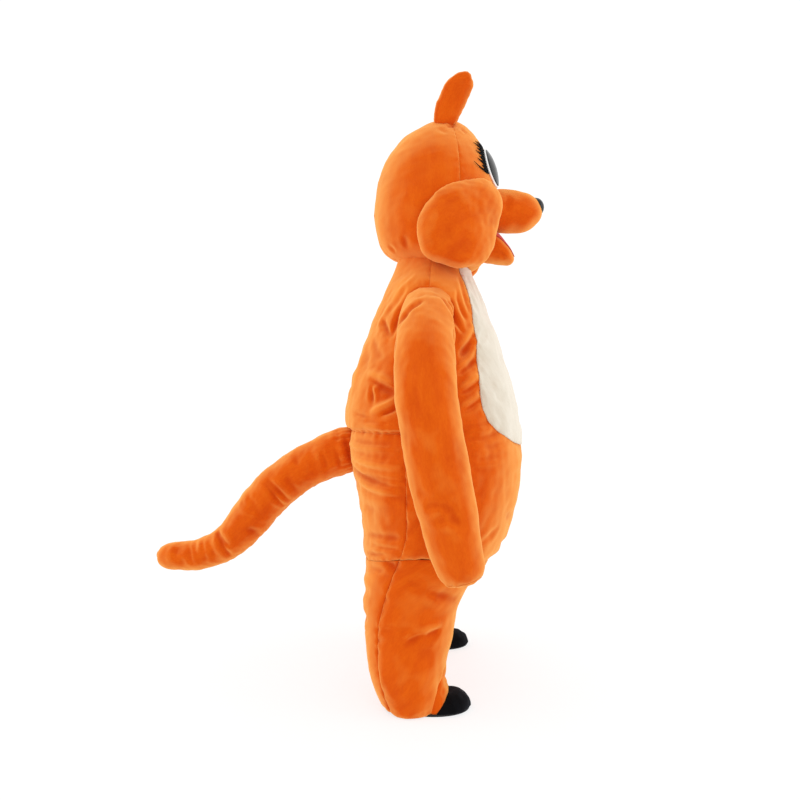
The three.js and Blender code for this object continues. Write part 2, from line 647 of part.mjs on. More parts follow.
// The foot: arches over the sole, one row for each step from the instep to the toe's tip. near is
// where the arch starts at the floor, and ridge where it crosses the foot's top.
const FOOT = [
  { ridge: 20, near: 40, half: 66, tall: 120 },
  { ridge: -32, near: 10, half: 70, tall: 104 },
  { ridge: -50, near: -10, half: 73, tall: 72 },
  { ridge: -60, near: -24, half: 74, tall: 47 },
  { ridge: -78, near: -52, half: 71, tall: 45 },
  { ridge: -94, near: -80, half: 63, tall: 40 },
  { ridge: -108, near: -100, half: 50, tall: 32 },
  { ridge: -118, near: -114, half: 32, tall: 21 },
  { ridge: -124, near: -122, half: 12, tall: 8 },
];
const TOE_SEAM = 3; // the row where the orange instep meets the black toe cap
const TOE_GAP = 0.02; // in rows, what each of the two is drawn back from that seam
const ARCH_STEPS = 7;
const arches = (places, shrink = 0) =>
  places.map((t) => {
    const row = rowAt(FOOT, t);
    return Array.from({ length: ARCH_STEPS + 1 }, (_, i) => {
      const turn = (Math.PI * i) / ARCH_STEPS;
      return new THREE.Vector3(
        FOOT_X + (row.half - shrink) * Math.cos(turn),
        lerp(row.near, row.ridge, Math.sin(turn)),
        SOLE + SEAM + (row.tall - shrink) * Math.sin(turn),
      );
    });
  });
const toePlaces = steps(TOE_SEAM + TOE_GAP, FOOT.length - 1, 5);
const instepPlaces = steps(0, TOE_SEAM - TOE_GAP, 4);
const toe = wall(arches(toePlaces), arches(toePlaces, PLUSH));
const instep = wall(arches(instepPlaces), arches(instepPlaces, PLUSH));

// The foot's hollow opens the leg's front, as far as the toe cap's first arches. Its rings close
// over the sole.
const TOE_ARCHES = 3;
const HOLLOW_EASE = 1;
const closedOverSole = (ring) => {
  const ends = [ring[ring.length - 1], ring[0]];
  return [...ring, ...ends.map((p) => new THREE.Vector3(p.x, p.y, SOLE))];
};
const hollowPlaces = [...instepPlaces, ...toePlaces.slice(0, TOE_ARCHES)];
const footHollow = solidOf(lump(arches(hollowPlaces, PLUSH + HOLLOW_EASE).map(closedOverSole)));

// The sole is a flat slab under the heel and toe, grown by a margin to cut the hem round it.
const SOLE_OUTLINE = { half: 78, toe: 121, heel: 122 };
const soleSlab = (grow) => {
  const { half, toe: ahead, heel: behind } = SOLE_OUTLINE;
  const shape = new THREE.Shape();
  shape.absellipse(FOOT_X, 0, half + grow, ahead + grow, Math.PI, 2 * Math.PI);
  shape.absellipse(FOOT_X, 0, half + grow, behind + grow, 0, Math.PI);
  const finish = { depth: SOLE + grow, bevelEnabled: false, curveSegments: 8 };
  return merged(new THREE.ExtrudeGeometry(shape, finish));
};
const legFilled = solidOf(filled(leg, legRows, legAngles, CUT));
const legFront = solidOf(panel(leg, legRows, legFrontAngles, PLUSH, { first: UP, last: UP }));
const footCut = footHollow.add(solidOf(soleSlab(SEAM)));
addPair("leg_front", geometryFrom(mainPiece(legFront.subtract(footCut))), ORANGE);
addPair("leg_back", panel(leg, legRows, legBackAngles, PLUSH, { first: UP, last: UP }), ORANGE);
addPair("instep", geometryFrom(mainPiece(solidOf(instep).subtract(legFilled))), ORANGE);
addPair("toe_cap", toe, BLACK_CLOTH);
addPair("sole", soleSlab(0), BLACK_CLOTH);

// ---- The tail ----------------------------------------------------------------------------------

const TAIL_SIDES = 12;
const TAIL_RINGS = 22;
const tailPlaces = steps(0, TAIL.length - 1, TAIL_RINGS);
const tailRings = limbRings(TAIL, tailPlaces, TAIL_SIDES, 0, new THREE.Vector3(1, 0, 0));
add("tail", geometryFrom(mainPiece(solidOf(lump(tailRings)).subtract(torsoFilled))), ORANGE);

// ---- The head ----------------------------------------------------------------------------------

// The head is turned on the suit's neck edge, so that it looks a little to the wearer's left.
const neckMiddle = new THREE.Vector3(0, (neck.back - neck.front) / 2, neck.height);
const head = new THREE.Group();
head.quaternion.setFromAxisAngle(NECK_PLANE, rad(HEAD_TURN));
head.position.copy(neckMiddle).sub(neckMiddle.clone().applyQuaternion(head.quaternion));
standing.add(head);

// The face and the two halves of the back meet in a seam that runs down from each ear.
const FACE_SEAM = 74;
const HEAD_COLUMNS = 5;
const lastSkullRow = SKULL.length - 1;
const skullRows = steps(0, lastSkullRow, lastSkullRow);
const faceAngles = (row) => between(-FACE_SEAM, FACE_SEAM, 2 * HEAD_COLUMNS, row);
const headBackAngles = (row) => between(FACE_SEAM, 180, HEAD_COLUMNS, row);
const skullAngles = () => [
  ...steps(0, FACE_SEAM, HEAD_COLUMNS),
  ...steps(FACE_SEAM, 180, HEAD_COLUMNS).slice(1),
];
const skullFilled = bothHalves(filled(skull, skullRows, skullAngles, CUT));
add("face", panel(skull, skullRows, faceAngles, FOAM, { first: NECK_PLANE }, true), ORANGE, head);
addPair("head_back", panel(skull, skullRows, headBackAngles, FOAM, { first: NECK_PLANE }), ORANGE, head);

// A cheek is a stuffed pad on the side of the face. Its level sections are turned to face forwards.
const CHEEK_TURN = 22;
const CHEEK = [
  { height: 1347, x: -190, y: -68, wide: 30, thick: 18 },
  { height: 1354, x: -188, y: -69, wide: 62, thick: 38 },
  { height: 1376, x: -186, y: -62, wide: 106, thick: 56 },
  { height: 1412, x: -183, y: -62, wide: 128, thick: 68 },
  { height: 1464, x: -181, y: -64, wide: 138, thick: 73 },
  { height: 1515, x: -180, y: -76, wide: 137, thick: 71 },
  { height: 1563, x: -177, y: -93, wide: 123, thick: 62 },
  { height: 1601, x: -173, y: -108, wide: 93, thick: 46 },
  { height: 1624, x: -168, y: -114, wide: 60, thick: 28 },
  { height: 1633, x: -165, y: -115, wide: 30, thick: 12 },
];
const CHEEK_SIDES = 14;
const cheekRings = steps(0, CHEEK.length - 1, CHEEK.length - 1).map((t) => {
  const row = rowAt(CHEEK, t);
  return Array.from({ length: CHEEK_SIDES }, (_, i) =>
    new THREE.Vector3(
      -row.thick * Math.sin((2 * Math.PI * i) / CHEEK_SIDES),
      -row.wide * Math.cos((2 * Math.PI * i) / CHEEK_SIDES),
      0,
    )
      .applyAxisAngle(UP, rad(CHEEK_TURN))
      .add(new THREE.Vector3(row.x, row.y, row.height)),
  );
});
addPair("cheek", geometryFrom(mainPiece(solidOf(lump(cheekRings)).subtract(skullFilled))), ORANGE, head);

const EAR_SIDES = 12;
const earRings = limbRings(EAR, steps(0, EAR.length - 1, EAR.length), EAR_SIDES);
addPair("ear", geometryFrom(mainPiece(solidOf(lump(earRings)).subtract(skullFilled))), ORANGE, head);

const MUZZLE_SIDES = 14;
const snoutRings = (grow) => muzzleRings(SNOUT, steps(0, SNOUT.length - 1, 9), MUZZLE_SIDES, grow);
const jawRings = (grow) => muzzleRings(JAW, steps(0, JAW.length - 1, 7), MUZZLE_SIDES, grow);
const snout = mainPiece(solidOf(lump(snoutRings(0))).subtract(skullFilled));
const jaw = mainPiece(solidOf(lump(jawRings(0))).subtract(skullFilled));
add("snout", geometryFrom(snout), ORANGE, head);
const snoutGrown = solidOf(lump(snoutRings(CUT)));
add("jaw", geometryFrom(mainPiece(jaw.subtract(snoutGrown))), ORANGE, head);

// The red lining lies on the jaw and runs back under the snout. first and last are rows of the
// jaw's table, from and to the turns round its section, and root is how deep it starts.
const LINING = { first: 1, last: 5.4, rows: 6, from: 24, to: 156, columns: 8, root: 5 };
const liningLayer = (by) =>
  steps(LINING.first, LINING.last, LINING.rows).map((t) => {
    const row = rowAt(JAW, t);
    return steps(LINING.from, LINING.to, LINING.columns).map(
      (turn) =>
        new THREE.Vector3(
          (row.half + by) * Math.cos(rad(turn)),
          -row.reach,
          row.middle + (row.tall + by) * Math.sin(rad(turn)),
        ),
    );
  });
const jawGrown = solidOf(lump(jawRings(CUT)));
const lining = solidOf(wall(liningLayer(SEAM + FELT), liningLayer(-LINING.root), { even: true }));
const liningCut = lining.subtract(jawGrown).subtract(snoutGrown).subtract(skullFilled);
add("mouth_lining", geometryFrom(mainPiece(liningCut)), RED, head);

// The nose is a moulded cap on the upper half of the snout's tip.
const NOSE = { half: 35, reach: 26, tall: 31, tilt: -24, y: -356, height: 1588 };
const noseBall = new THREE.SphereGeometry(1, 16, 12).scale(NOSE.half, NOSE.reach, NOSE.tall);
noseBall.rotateX(rad(NOSE.tilt)).translate(0, NOSE.y, NOSE.height);
add("nose", geometryFrom(mainPiece(solidOf(noseBall).subtract(snoutGrown))), BLACK_GLOSS, head);

// An eye is a moulded oval, with a black lens on a white plate. Both are domes on the face. A share
// is a part of the way from the eye's middle to the plate's edge.
const EYE = { angle: 25.5, height: 1688, across: 15, up: 64 };
const EYE_SPOKES = 20;
const WHITE_SHARES = [0.45, 0.8, 0.92, 1];
const LENS_SHARES = [0.45, 0.8, 0.92];
const PLATE = { edge: 4, crown: 5, round: 0.9, root: 6 };
const LENS = { edge: 1, crown: 4 };
const plateRise = (share) => PLATE.edge + PLATE.crown * Math.sqrt(1 - share * share * PLATE.round);
const lensUnder = (share) => plateRise(share) + SEAM;
const lensOver = (share) => lensUnder(share) + LENS.edge + LENS.crown * (1 - share * share);

// The point at a share and a turn of the eye, at a distance off the face.
const onEye = (share, turn, by) => {
  const angle = EYE.angle + EYE.across * share * Math.cos(turn);
  const t = skull.rowOf(EYE.height + EYE.up * share * Math.sin(turn));
  return skull.point(angle, t).addScaledVector(skull.normal(angle, t), by);
};
const dome = (shares, under, over) => {
  const layer = (rise) => {
    const ring = (share) =>
      Array.from({ length: EYE_SPOKES }, (_, i) => onEye(share, (2 * Math.PI * i) / EYE_SPOKES, rise(share)));
    return [onEye(0, 0, rise(0)), ...shares.flatMap(ring)];
  };
  const points = [...layer(under), ...layer(over)];
  const count = points.length / 2;
  const at = (r, i) => (r < 0 ? 0 : 1 + r * EYE_SPOKES + (i % EYE_SPOKES));
  const faces = [];
  for (let i = 0; i < EYE_SPOKES; i++) {
    shares.forEach((_, r) => {
      const [a, b, c, d] = [at(r - 1, i), at(r - 1, i + 1), at(r, i + 1), at(r, i)];
      const fan = r === 0 ? [[a, c, d]] : [[a, b, c], [a, c, d]];
      for (const [p, q, w] of fan) faces.push([p, w, q], [p + count, q + count, w + count]);
    });
    const [a, b] = [at(shares.length - 1, i), at(shares.length - 1, i + 1)];
    faces.push([a, b + count, b], [a, a + count, b + count]);
  }
  return facingOut(geometryOf(points, faces));
};
const eyePlate = solidOf(dome(WHITE_SHARES, () => -PLATE.root, plateRise)).subtract(skullFilled);
addPair("eye_plate", geometryFrom(mainPiece(eyePlate)), WHITE_GLOSS, head);
addPair("eye_lens", dome(LENS_SHARES, lensUnder, lensOver), BLACK_GLOSS, head);

// The lashes are one piece of felt with even teeth, fanned round the eye's outer upper edge. root,
// valley and tip are shares as on the eye, from and to are turns round it. A tip's turn is comb times
// its root's, and lean more, so that the teeth point outwards.
const LASH = { teeth: 8, root: 1.04, valley: 1.2, tip: 1.9, from: -29, to: 66, comb: 0.62, lean: 5 };
const LASH_GAP = 1.5;
const lashLayer = (by) => {
  const turns = steps(LASH.from, LASH.to, 2 * LASH.teeth);
  return steps(0, 1, 2).map((part) =>
    turns.map((turn, i) => {
      const share = LASH.root + part * ((i % 2 ? LASH.tip : LASH.valley) - LASH.root);
      const out = (share - LASH.root) / (LASH.tip - LASH.root);
      return onEye(share, rad(turn + out * (turn * (LASH.comb - 1) + LASH.lean)), by);
    }),
  );
};
addPair("lashes", wall(lashLayer(LASH_GAP + FELT), lashLayer(LASH_GAP)), BLACK_CLOTH, head);

export default costume;
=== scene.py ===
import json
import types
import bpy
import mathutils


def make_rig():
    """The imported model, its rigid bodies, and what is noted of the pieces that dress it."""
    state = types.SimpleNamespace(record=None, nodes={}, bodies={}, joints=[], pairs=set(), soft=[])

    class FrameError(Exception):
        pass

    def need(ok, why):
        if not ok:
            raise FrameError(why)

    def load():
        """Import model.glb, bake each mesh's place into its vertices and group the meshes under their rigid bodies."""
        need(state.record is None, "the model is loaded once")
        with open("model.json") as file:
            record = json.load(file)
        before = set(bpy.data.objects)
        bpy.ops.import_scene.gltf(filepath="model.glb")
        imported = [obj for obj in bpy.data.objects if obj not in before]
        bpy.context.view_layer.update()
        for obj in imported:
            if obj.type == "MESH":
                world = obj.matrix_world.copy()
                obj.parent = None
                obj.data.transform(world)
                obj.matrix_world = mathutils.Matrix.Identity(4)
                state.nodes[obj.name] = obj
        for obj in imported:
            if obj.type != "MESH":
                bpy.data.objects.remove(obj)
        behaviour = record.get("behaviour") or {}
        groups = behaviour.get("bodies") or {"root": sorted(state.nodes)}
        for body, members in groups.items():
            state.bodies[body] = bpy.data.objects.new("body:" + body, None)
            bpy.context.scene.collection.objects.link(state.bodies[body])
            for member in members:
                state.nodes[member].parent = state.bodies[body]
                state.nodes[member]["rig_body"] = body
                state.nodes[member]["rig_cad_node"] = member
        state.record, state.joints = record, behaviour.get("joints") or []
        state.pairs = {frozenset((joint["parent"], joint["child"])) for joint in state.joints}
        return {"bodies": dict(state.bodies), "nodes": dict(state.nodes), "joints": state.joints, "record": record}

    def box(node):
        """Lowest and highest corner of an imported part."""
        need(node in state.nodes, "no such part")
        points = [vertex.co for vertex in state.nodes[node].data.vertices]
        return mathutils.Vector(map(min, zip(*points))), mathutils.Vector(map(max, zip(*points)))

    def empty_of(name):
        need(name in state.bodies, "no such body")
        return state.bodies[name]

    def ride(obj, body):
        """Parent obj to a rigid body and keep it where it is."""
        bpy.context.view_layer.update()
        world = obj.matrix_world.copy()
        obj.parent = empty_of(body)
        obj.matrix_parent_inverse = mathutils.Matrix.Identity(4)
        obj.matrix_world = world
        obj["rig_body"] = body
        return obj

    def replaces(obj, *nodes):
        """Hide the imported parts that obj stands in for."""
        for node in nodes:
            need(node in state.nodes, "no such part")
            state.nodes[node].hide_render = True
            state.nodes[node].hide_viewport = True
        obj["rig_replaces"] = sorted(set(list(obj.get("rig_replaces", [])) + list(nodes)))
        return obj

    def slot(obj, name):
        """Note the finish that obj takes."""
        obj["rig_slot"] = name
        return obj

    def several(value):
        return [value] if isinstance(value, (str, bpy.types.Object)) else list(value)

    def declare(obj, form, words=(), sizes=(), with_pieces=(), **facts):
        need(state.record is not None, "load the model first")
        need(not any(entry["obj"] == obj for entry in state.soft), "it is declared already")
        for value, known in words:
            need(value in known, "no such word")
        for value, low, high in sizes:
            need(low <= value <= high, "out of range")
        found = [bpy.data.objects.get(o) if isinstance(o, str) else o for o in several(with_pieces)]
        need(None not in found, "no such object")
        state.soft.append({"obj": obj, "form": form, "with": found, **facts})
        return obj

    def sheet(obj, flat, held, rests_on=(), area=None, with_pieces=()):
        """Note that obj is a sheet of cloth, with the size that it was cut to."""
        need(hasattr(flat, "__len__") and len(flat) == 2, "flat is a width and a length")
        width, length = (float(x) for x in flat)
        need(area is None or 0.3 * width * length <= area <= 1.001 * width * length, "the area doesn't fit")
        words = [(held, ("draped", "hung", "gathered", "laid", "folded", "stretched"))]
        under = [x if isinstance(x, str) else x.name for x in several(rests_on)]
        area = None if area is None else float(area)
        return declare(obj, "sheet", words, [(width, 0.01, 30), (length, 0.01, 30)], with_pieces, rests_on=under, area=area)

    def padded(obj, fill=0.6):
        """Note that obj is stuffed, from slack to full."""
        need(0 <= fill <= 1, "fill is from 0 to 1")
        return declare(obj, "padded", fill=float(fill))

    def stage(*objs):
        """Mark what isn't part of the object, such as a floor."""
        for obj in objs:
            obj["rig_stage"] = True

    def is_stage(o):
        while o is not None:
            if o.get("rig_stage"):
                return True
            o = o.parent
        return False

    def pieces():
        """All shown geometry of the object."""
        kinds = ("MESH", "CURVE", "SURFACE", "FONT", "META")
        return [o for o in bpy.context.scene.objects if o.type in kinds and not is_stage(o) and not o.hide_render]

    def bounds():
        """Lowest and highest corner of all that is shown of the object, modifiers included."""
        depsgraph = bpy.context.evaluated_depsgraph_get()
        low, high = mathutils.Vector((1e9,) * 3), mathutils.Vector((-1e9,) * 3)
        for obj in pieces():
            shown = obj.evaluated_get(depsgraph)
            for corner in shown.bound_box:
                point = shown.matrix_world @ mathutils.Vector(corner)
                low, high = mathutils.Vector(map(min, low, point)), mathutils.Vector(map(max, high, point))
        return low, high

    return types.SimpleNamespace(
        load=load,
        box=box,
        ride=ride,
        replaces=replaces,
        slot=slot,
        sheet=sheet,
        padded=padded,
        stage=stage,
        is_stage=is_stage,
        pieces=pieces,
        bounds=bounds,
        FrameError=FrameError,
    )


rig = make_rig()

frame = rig.load()
cad_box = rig.bounds()

import json
import math

import bpy
import numpy as np
from mathutils import Matrix

# A kangaroo mascot costume, worn and filled out. Sizes are in millimetres and heights are above the
# floor, until to_metres puts a piece in the frame's own units and place. The right side is at -X.

# ---- Front, back and seat ------------------------------------------------------------------------
# The suit is cut from orange plush in flat panels, and the padded body inside rounds them out. Two
# fronts run from the neck to the leg seam, and meet in the middle under the cream panel. The upper
# back blouses over the waist seam, with the seat below it.

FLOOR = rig.box("sole_right")[0].z  # the soles stand on it
SIDES = (False, "right"), (True, "left")  # whether it is the left one, and its name
SEAM = 0.3  # daylight left between two panels that are sewn together
NECK = 1382
WAIST_SEAM = 824
LEG_SEAM = 404


def to_metres(points):
    return points / 1000 + np.array([0, 0, FLOOR])


class Form:
    """A body given by a table of level sections, one row for each height. front, back and half (or
    outer and inner) are the reach from the middle, square is 2 for an ellipse and more for fuller
    corners, rise lifts the back and lowers the front, and lift raises the sides. turn is -1 where
    the rows go up. relief is a function that gives what folds and seams add."""

    def __init__(self, columns, rows, turn=1):
        self.table = dict(zip(columns.split(), np.array(rows, float).T))
        self.last = len(rows) - 1
        self.turn = turn
        self.relief = None
        self.fine = np.linspace(0, self.last, 80 * self.last + 1)
        self.heights = self.row(self.fine)["height"]

    def row(self, t):
        """The table's columns at t, counted in rows, joined by a smooth curve."""
        i = np.clip(np.floor(t).astype(int), 0, self.last - 1)
        f = t - i
        mixed = {}
        for name, column in self.table.items():
            a, b, c, d = (column[np.clip(i + n, 0, self.last)] for n in (-1, 0, 1, 2))
            m0, m1 = (c - a) / 2, (d - b) / 2
            cubic, square = 2 * b - 2 * c + m0 + m1, 3 * c - 3 * b - 2 * m0 - m1
            mixed[name] = ((cubic * f + square) * f + m0) * f + b
        return mixed

    def at(self, height):
        """Where the table reaches a height, counted in rows."""
        if self.heights[0] < self.heights[-1]:
            return np.interp(height, self.heights, self.fine)
        return np.interp(height, self.heights[::-1], self.fine[::-1])

    def section(self, row, angle):
        """The reach of a section at an angle: its side, its depth and its middle."""
        outside = np.sin(np.radians(angle)) > 0
        side = row["half"] if "half" in row else np.where(outside, row["outer"], row["inner"])
        lift = row.get("lift", 0) * (outside if "outer" in row else 1)
        return side, (row["front"] + row["back"]) / 2, (row["back"] - row["front"]) / 2, lift

    def smooth(self, angle, t):
        """The point at an angle, 0 at the front, 90 at the right or outside, 180 at the back."""
        row = self.row(t)
        s, c = np.sin(np.radians(angle)), np.cos(np.radians(angle))
        square = row["square"]
        reach = (np.abs(s) ** square + np.abs(c) ** square) ** (-1 / square)
        side, depth, middle, lift = self.section(row, angle)
        x = -row.get("centre", 0) - side * s * reach
        y = middle - depth * c * reach
        return np.stack([x, y, row["height"] - row.get("rise", 0) * c + lift * s * s], -1)

    def normal(self, angle, t):
        beside = np.where(np.abs((angle + 90) % 180 - 90) < 0.01, angle + 0.02, angle)
        inside = np.clip(t, 0.02, self.last - 0.02)
        across = self.smooth(beside + 0.01, inside) - self.smooth(beside - 0.01, inside)
        along = self.smooth(beside, inside + 0.01) - self.smooth(beside, inside - 0.01)
        return unit(np.cross(across, along)) * self.turn

    def surface(self, angle, t, out=0):
        """The point with its folds, and what the folds add there. out is the distance off it."""
        smooth, normal = self.smooth(angle, t), self.normal(angle, t)
        relief = self.relief(angle, t, smooth) if self.relief else np.zeros(smooth.shape[:-1])
        return smooth + normal * (relief + out)[..., None], relief

    def girth(self, t):
        """Millimetres per degree round a section, along its average radius."""
        row = self.row(t)
        side = row["half"] if "half" in row else row["outer"]
        return np.radians(1) * (side + (row["front"] + row["back"]) / 2) / 2

    def girth_at(self, height):
        return self.girth(self.at(height))

    def place(self, points):
        """The angle and row of points near the form, and their share of its reach: 1 is on it."""
        raised = np.zeros(points.shape[:-1])
        for _ in range(3):
            t = self.at(points[..., 2] - raised)
            row = self.row(t)
            x = points[..., 0] + row.get("centre", 0)
            side, depth, middle, lift = self.section(row, np.where(x < 0, 90, -90))
            s, c = -x / np.maximum(side, 0.1), -(points[..., 1] - middle) / np.maximum(depth, 0.1)
            angle = np.arctan2(s, c)
            raised = lift * np.sin(angle) ** 2 - row.get("rise", 0) * np.cos(angle)
        share = (np.abs(s) ** row["square"] + np.abs(c) ** row["square"]) ** (1 / row["square"])
        return np.degrees(angle), t, share


def unit(vectors):
    return vectors / np.maximum(np.linalg.norm(vectors, axis=-1, keepdims=True), 1e-9)


TORSO = Form("height front back half rise square lift", [
    (LEG_SEAM, 190, 222, 322, 0, 2.5, 50),
    (440, 226, 229, 332, 0, 2.4, 34),
    (500, 252, 234, 341, 0, 2.3, 14),
    (570, 274, 240, 348, 0, 2.3, 3),
    (645, 292, 256, 351, 0, 2.2, 0),
    (720, 300, 273, 349, 0, 2.2, 0),
    (780, 296, 280, 344, 0, 2.2, 0),
    (WAIST_SEAM, 290, 276, 336, 0, 2.2, 0),
    (838, 288, 291, 341, 0, 2.2, 0),
    (872, 283, 293, 336, 0, 2.2, 0),
    (940, 271, 285, 319, 0, 2.2, 0),
    (1020, 249, 262, 299, 0, 2.1, 0),
    (1100, 224, 236, 275, 0, 2.1, 0),
    (1175, 198, 209, 250, 0, 2.1, 0),
    (1240, 174, 183, 222, 0, 2, 0),
    (1295, 150, 158, 190, 4, 2, 0),
    (1342, 132, 135, 152, 12, 2, 0),
    (NECK, 124, 120, 122, 20, 2, 0),
], turn=-1)

# The side seam by height and angle: it runs down behind the leg, and under the arm a little
# behind the middle.
SIDE_SEAM = np.array([
    (0, 130), (39, 129), (100, 128), (180, 129), (235, 127), (304, 121), (361, 115), (404, 110),
    (503, 108), (630, 108), (723, 106), (820, 101), (1080, 93), (1280, 89), (1400, 90),
], float)


def side_seam(height):
    return np.interp(height, *SIDE_SEAM.T)


# The plush is soft and rather thick, so its creases are soft troughs with low shoulders, and short ones are sharper.
# Each is placed where the cloth is pulled, pushed together or gathered.

PUCKER = 0.9  # how far a seam's edge rises and sinks along it


def waves(points, seed, shortest, longest):
    """An even unevenness of about 1 either way: many waves in random directions."""
    chance = np.random.default_rng(seed)
    count = 36
    directions = unit(chance.normal(size=(count, 3)))
    numbers = 2 * np.pi / chance.uniform(shortest, longest, count)
    phases = chance.uniform(0, 2 * np.pi, count)
    flat = points.reshape(-1, 3) @ (directions * numbers[:, None]).T + phases
    return np.cos(flat).sum(1).reshape(points.shape[:-1]) / math.sqrt(count / 2)


def creases(rows, across, along, girth):
    """What creases add, in mm. A row is from (across, along) to (across, along), then how far it
    bows sideways, its depth (less than 0 is a ridge) and its half width. across is in degrees, and
    girth is the millimetres in one of them, or gives them by height."""
    total = np.zeros(across.shape)
    for across0, along0, across1, along1, bow, depth, width in rows:
        degree = float(girth((along0 + along1) / 2)) if callable(girth) else girth
        x1, y1 = (across1 - across0) * degree, along1 - along0
        length = math.hypot(x1, y1)
        x, y = (across - across0) * degree, along - along0
        forth, aside = (x * x1 + y * y1) / length, (y * x1 - x * y1) / length
        on = np.clip(forth, 0, length)
        share = on / length
        away = np.hypot(aside - 4 * bow * share * (1 - share), forth - on)
        fade = 1 - np.abs(2 * share - 1) ** 3
        wide = width * (0.6 + 0.4 * fade)
        trough = np.exp(-((away / wide) ** 2))
        shoulders = np.exp(-(((away - 2 * wide) / wide) ** 2))
        total += -depth * fade * (trough - 0.3 * shoulders)
    return total


def both_sides(form, rows, left_rows, right, angle, height):
    """The creases of rows where it is the right side, and of left_rows where it isn't."""
    wrapped = np.abs((angle + 180) % 360 - 180)
    folds = [creases(some, wrapped, height, form.girth_at) for some in (rows, left_rows)]
    return np.where(right, *folds)


def similar(rows, seed, turn=4, drop=16):
    """Creases like the given ones but not the same, for the side that is seen less."""
    chance = np.random.default_rng(seed)
    moved = []
    for across0, along0, across1, along1, bow, depth, width in rows:
        a, b = chance.uniform(-turn, turn, 2)
        c, d = chance.uniform(-drop, drop, 2)
        size = chance.uniform(0.75, 1.1)
        moved.append((across0 + a, along0 + c, across1 + b, along1 + d, bow, depth * size, width))
    return moved


def slack(points):
    """The unevenness of cloth that hangs loose, long and short."""
    return 1.5 * waves(points, 1, 70, 190) + 0.45 * waves(points, 2, 24, 60)


def gathers(turn, count, drift=0, times=0, phase=0):
    """The ups and downs of so many gathers round a root, whose distance drifts so many times."""
    turn = np.radians(turn)
    return np.cos(turn * count + drift * np.sin(turn * times + phase))


def sewn(distance, points, depth=3.6, reach=6.5):
    """The valley that a seam pulls the plush into, with small puckers beside it."""
    far = np.abs(distance)
    puckers = PUCKER * waves(points, 5, 16, 40) * np.exp(-((far / 13) ** 2))
    return -depth * np.exp(-far / reach) + puckers


# A panel is a grid of points that is close at its edges, where the plush turns into a seam. It gets
# its thickness inwards, and a hole in it is left open with a turned edge.

STEP = 5.6  # between two rows of points
TURNED = np.array([0, 1.5, 3.5, 6.5, 10.5])  # rows beside an edge
PLUSH = 3.0  # the thickness of the plush with its backing


def stations(length, step=STEP, start=True, end=True):
    """Places along a length as shares of it, closer together beside an edge."""
    low = TURNED if start else TURNED[:1]
    high = TURNED if end else TURNED[:1]
    spans = max(2, round((length - low[-1] - high[-1]) / step))
    middle = np.linspace(low[-1], length - high[-1], spans + 1)[1:-1]
    return np.concatenate([low, middle, (length - high)[::-1]]) / length


def lengths(points, axis):
    """The distance covered up to each point of a grid, along its rows (0) or columns (1)."""
    steps = np.linalg.norm(np.diff(points, axis=axis), axis=-1)
    first = np.zeros_like(np.take(points[..., 0], [0], axis=axis))
    return np.concatenate([first, np.cumsum(steps, axis=axis)], axis=axis)


def wall_faces(rows, columns, ring, keep):
    """Quads of a closed wall: an outer grid, an inner one, and a rim wherever a kept quad ends."""
    spans = columns if ring else columns - 1
    r, c = np.meshgrid(np.arange(rows - 1), np.arange(spans), indexing="ij")
    c1 = (c + 1) % columns
    a, b, d, e = r * columns + c, r * columns + c1, (r + 1) * columns + c, (r + 1) * columns + c1
    n = rows * columns
    faces = [np.stack([a, b, e, d], -1)[keep], np.stack([d, e, b, a], -1)[keep] + n]
    off = np.zeros((1, spans), bool)
    below, above = np.concatenate([off, keep]), np.concatenate([keep, off])
    side = np.zeros((rows - 1, 1), bool)
    left = np.concatenate([keep[:, -1:] if ring else side, keep], axis=1)
    right = np.concatenate([keep, keep[:, :1] if ring else side], axis=1)
    if ring:
        left, right = left[:, :spans], right[:, :spans]
    rr, cc = np.meshgrid(np.arange(rows), np.arange(spans), indexing="ij")
    p, q = rr * columns + cc, rr * columns + (cc + 1) % columns
    first, final = above & ~below, below & ~above
    faces.append(np.stack([q, p, p + n, q + n], -1)[first])
    faces.append(np.stack([p, q, q + n, p + n], -1)[final])
    rr, cc = np.meshgrid(np.arange(rows - 1), np.arange(left.shape[1]), indexing="ij")
    p, q = rr * columns + cc % columns, (rr + 1) * columns + cc % columns
    first, final = right & ~left, left & ~right
    faces.append(np.stack([p, q, q + n, p + n], -1)[first])
    faces.append(np.stack([q, p, p + n, q + n], -1)[final])
    return np.concatenate(faces)


def facing_out(points, faces):
    """The faces, turned round if they point inwards."""
    a, b, c, d = (points[faces[:, i]] for i in range(4))
    volume = (a * np.cross(b, c)).sum() + (a * np.cross(c, d)).sum()
    return faces[:, ::-1] if volume < 0 else faces


def linked(name, data):
    """A new object with this mesh, light or camera, in the scene."""
    made = bpy.data.objects.new(name, data)
    bpy.context.scene.collection.objects.link(made)
    return made


def vector_attribute(mesh, name, vectors):
    """Gives each vertex a vector under this name."""
    flat = np.ascontiguousarray(vectors, dtype=np.float32).ravel()
    mesh.attributes.new(name, "FLOAT_VECTOR", "POINT").data.foreach_set("vector", flat)


def mesh_object(name, points, faces, material, hollow, cloth):
    """An object from points in mm. hollow is how deep in a crease each lies, less than 0 on a
    ridge, and cloth is where it lies on its cut: across, a depth and along, in mm."""
    used, inverse = np.unique(faces, return_inverse=True)
    faces = facing_out(points[used], inverse.reshape(faces.shape))
    mesh = bpy.data.meshes.new(name)
    mesh.from_pydata(to_metres(points[used]).tolist(), [], [
        [v for i, v in enumerate(face) if v != face[i - 1]] for face in faces.tolist()
    ])
    mesh.materials.append(material)
    mesh.attributes.new("hollow", "FLOAT", "POINT").data.foreach_set("value", hollow[used])
    vector_attribute(mesh, "cloth", cloth[used] / 1000)
    mesh.polygons.foreach_set("use_smooth", [True] * len(mesh.polygons))
    mesh.update()
    return linked(name, mesh)


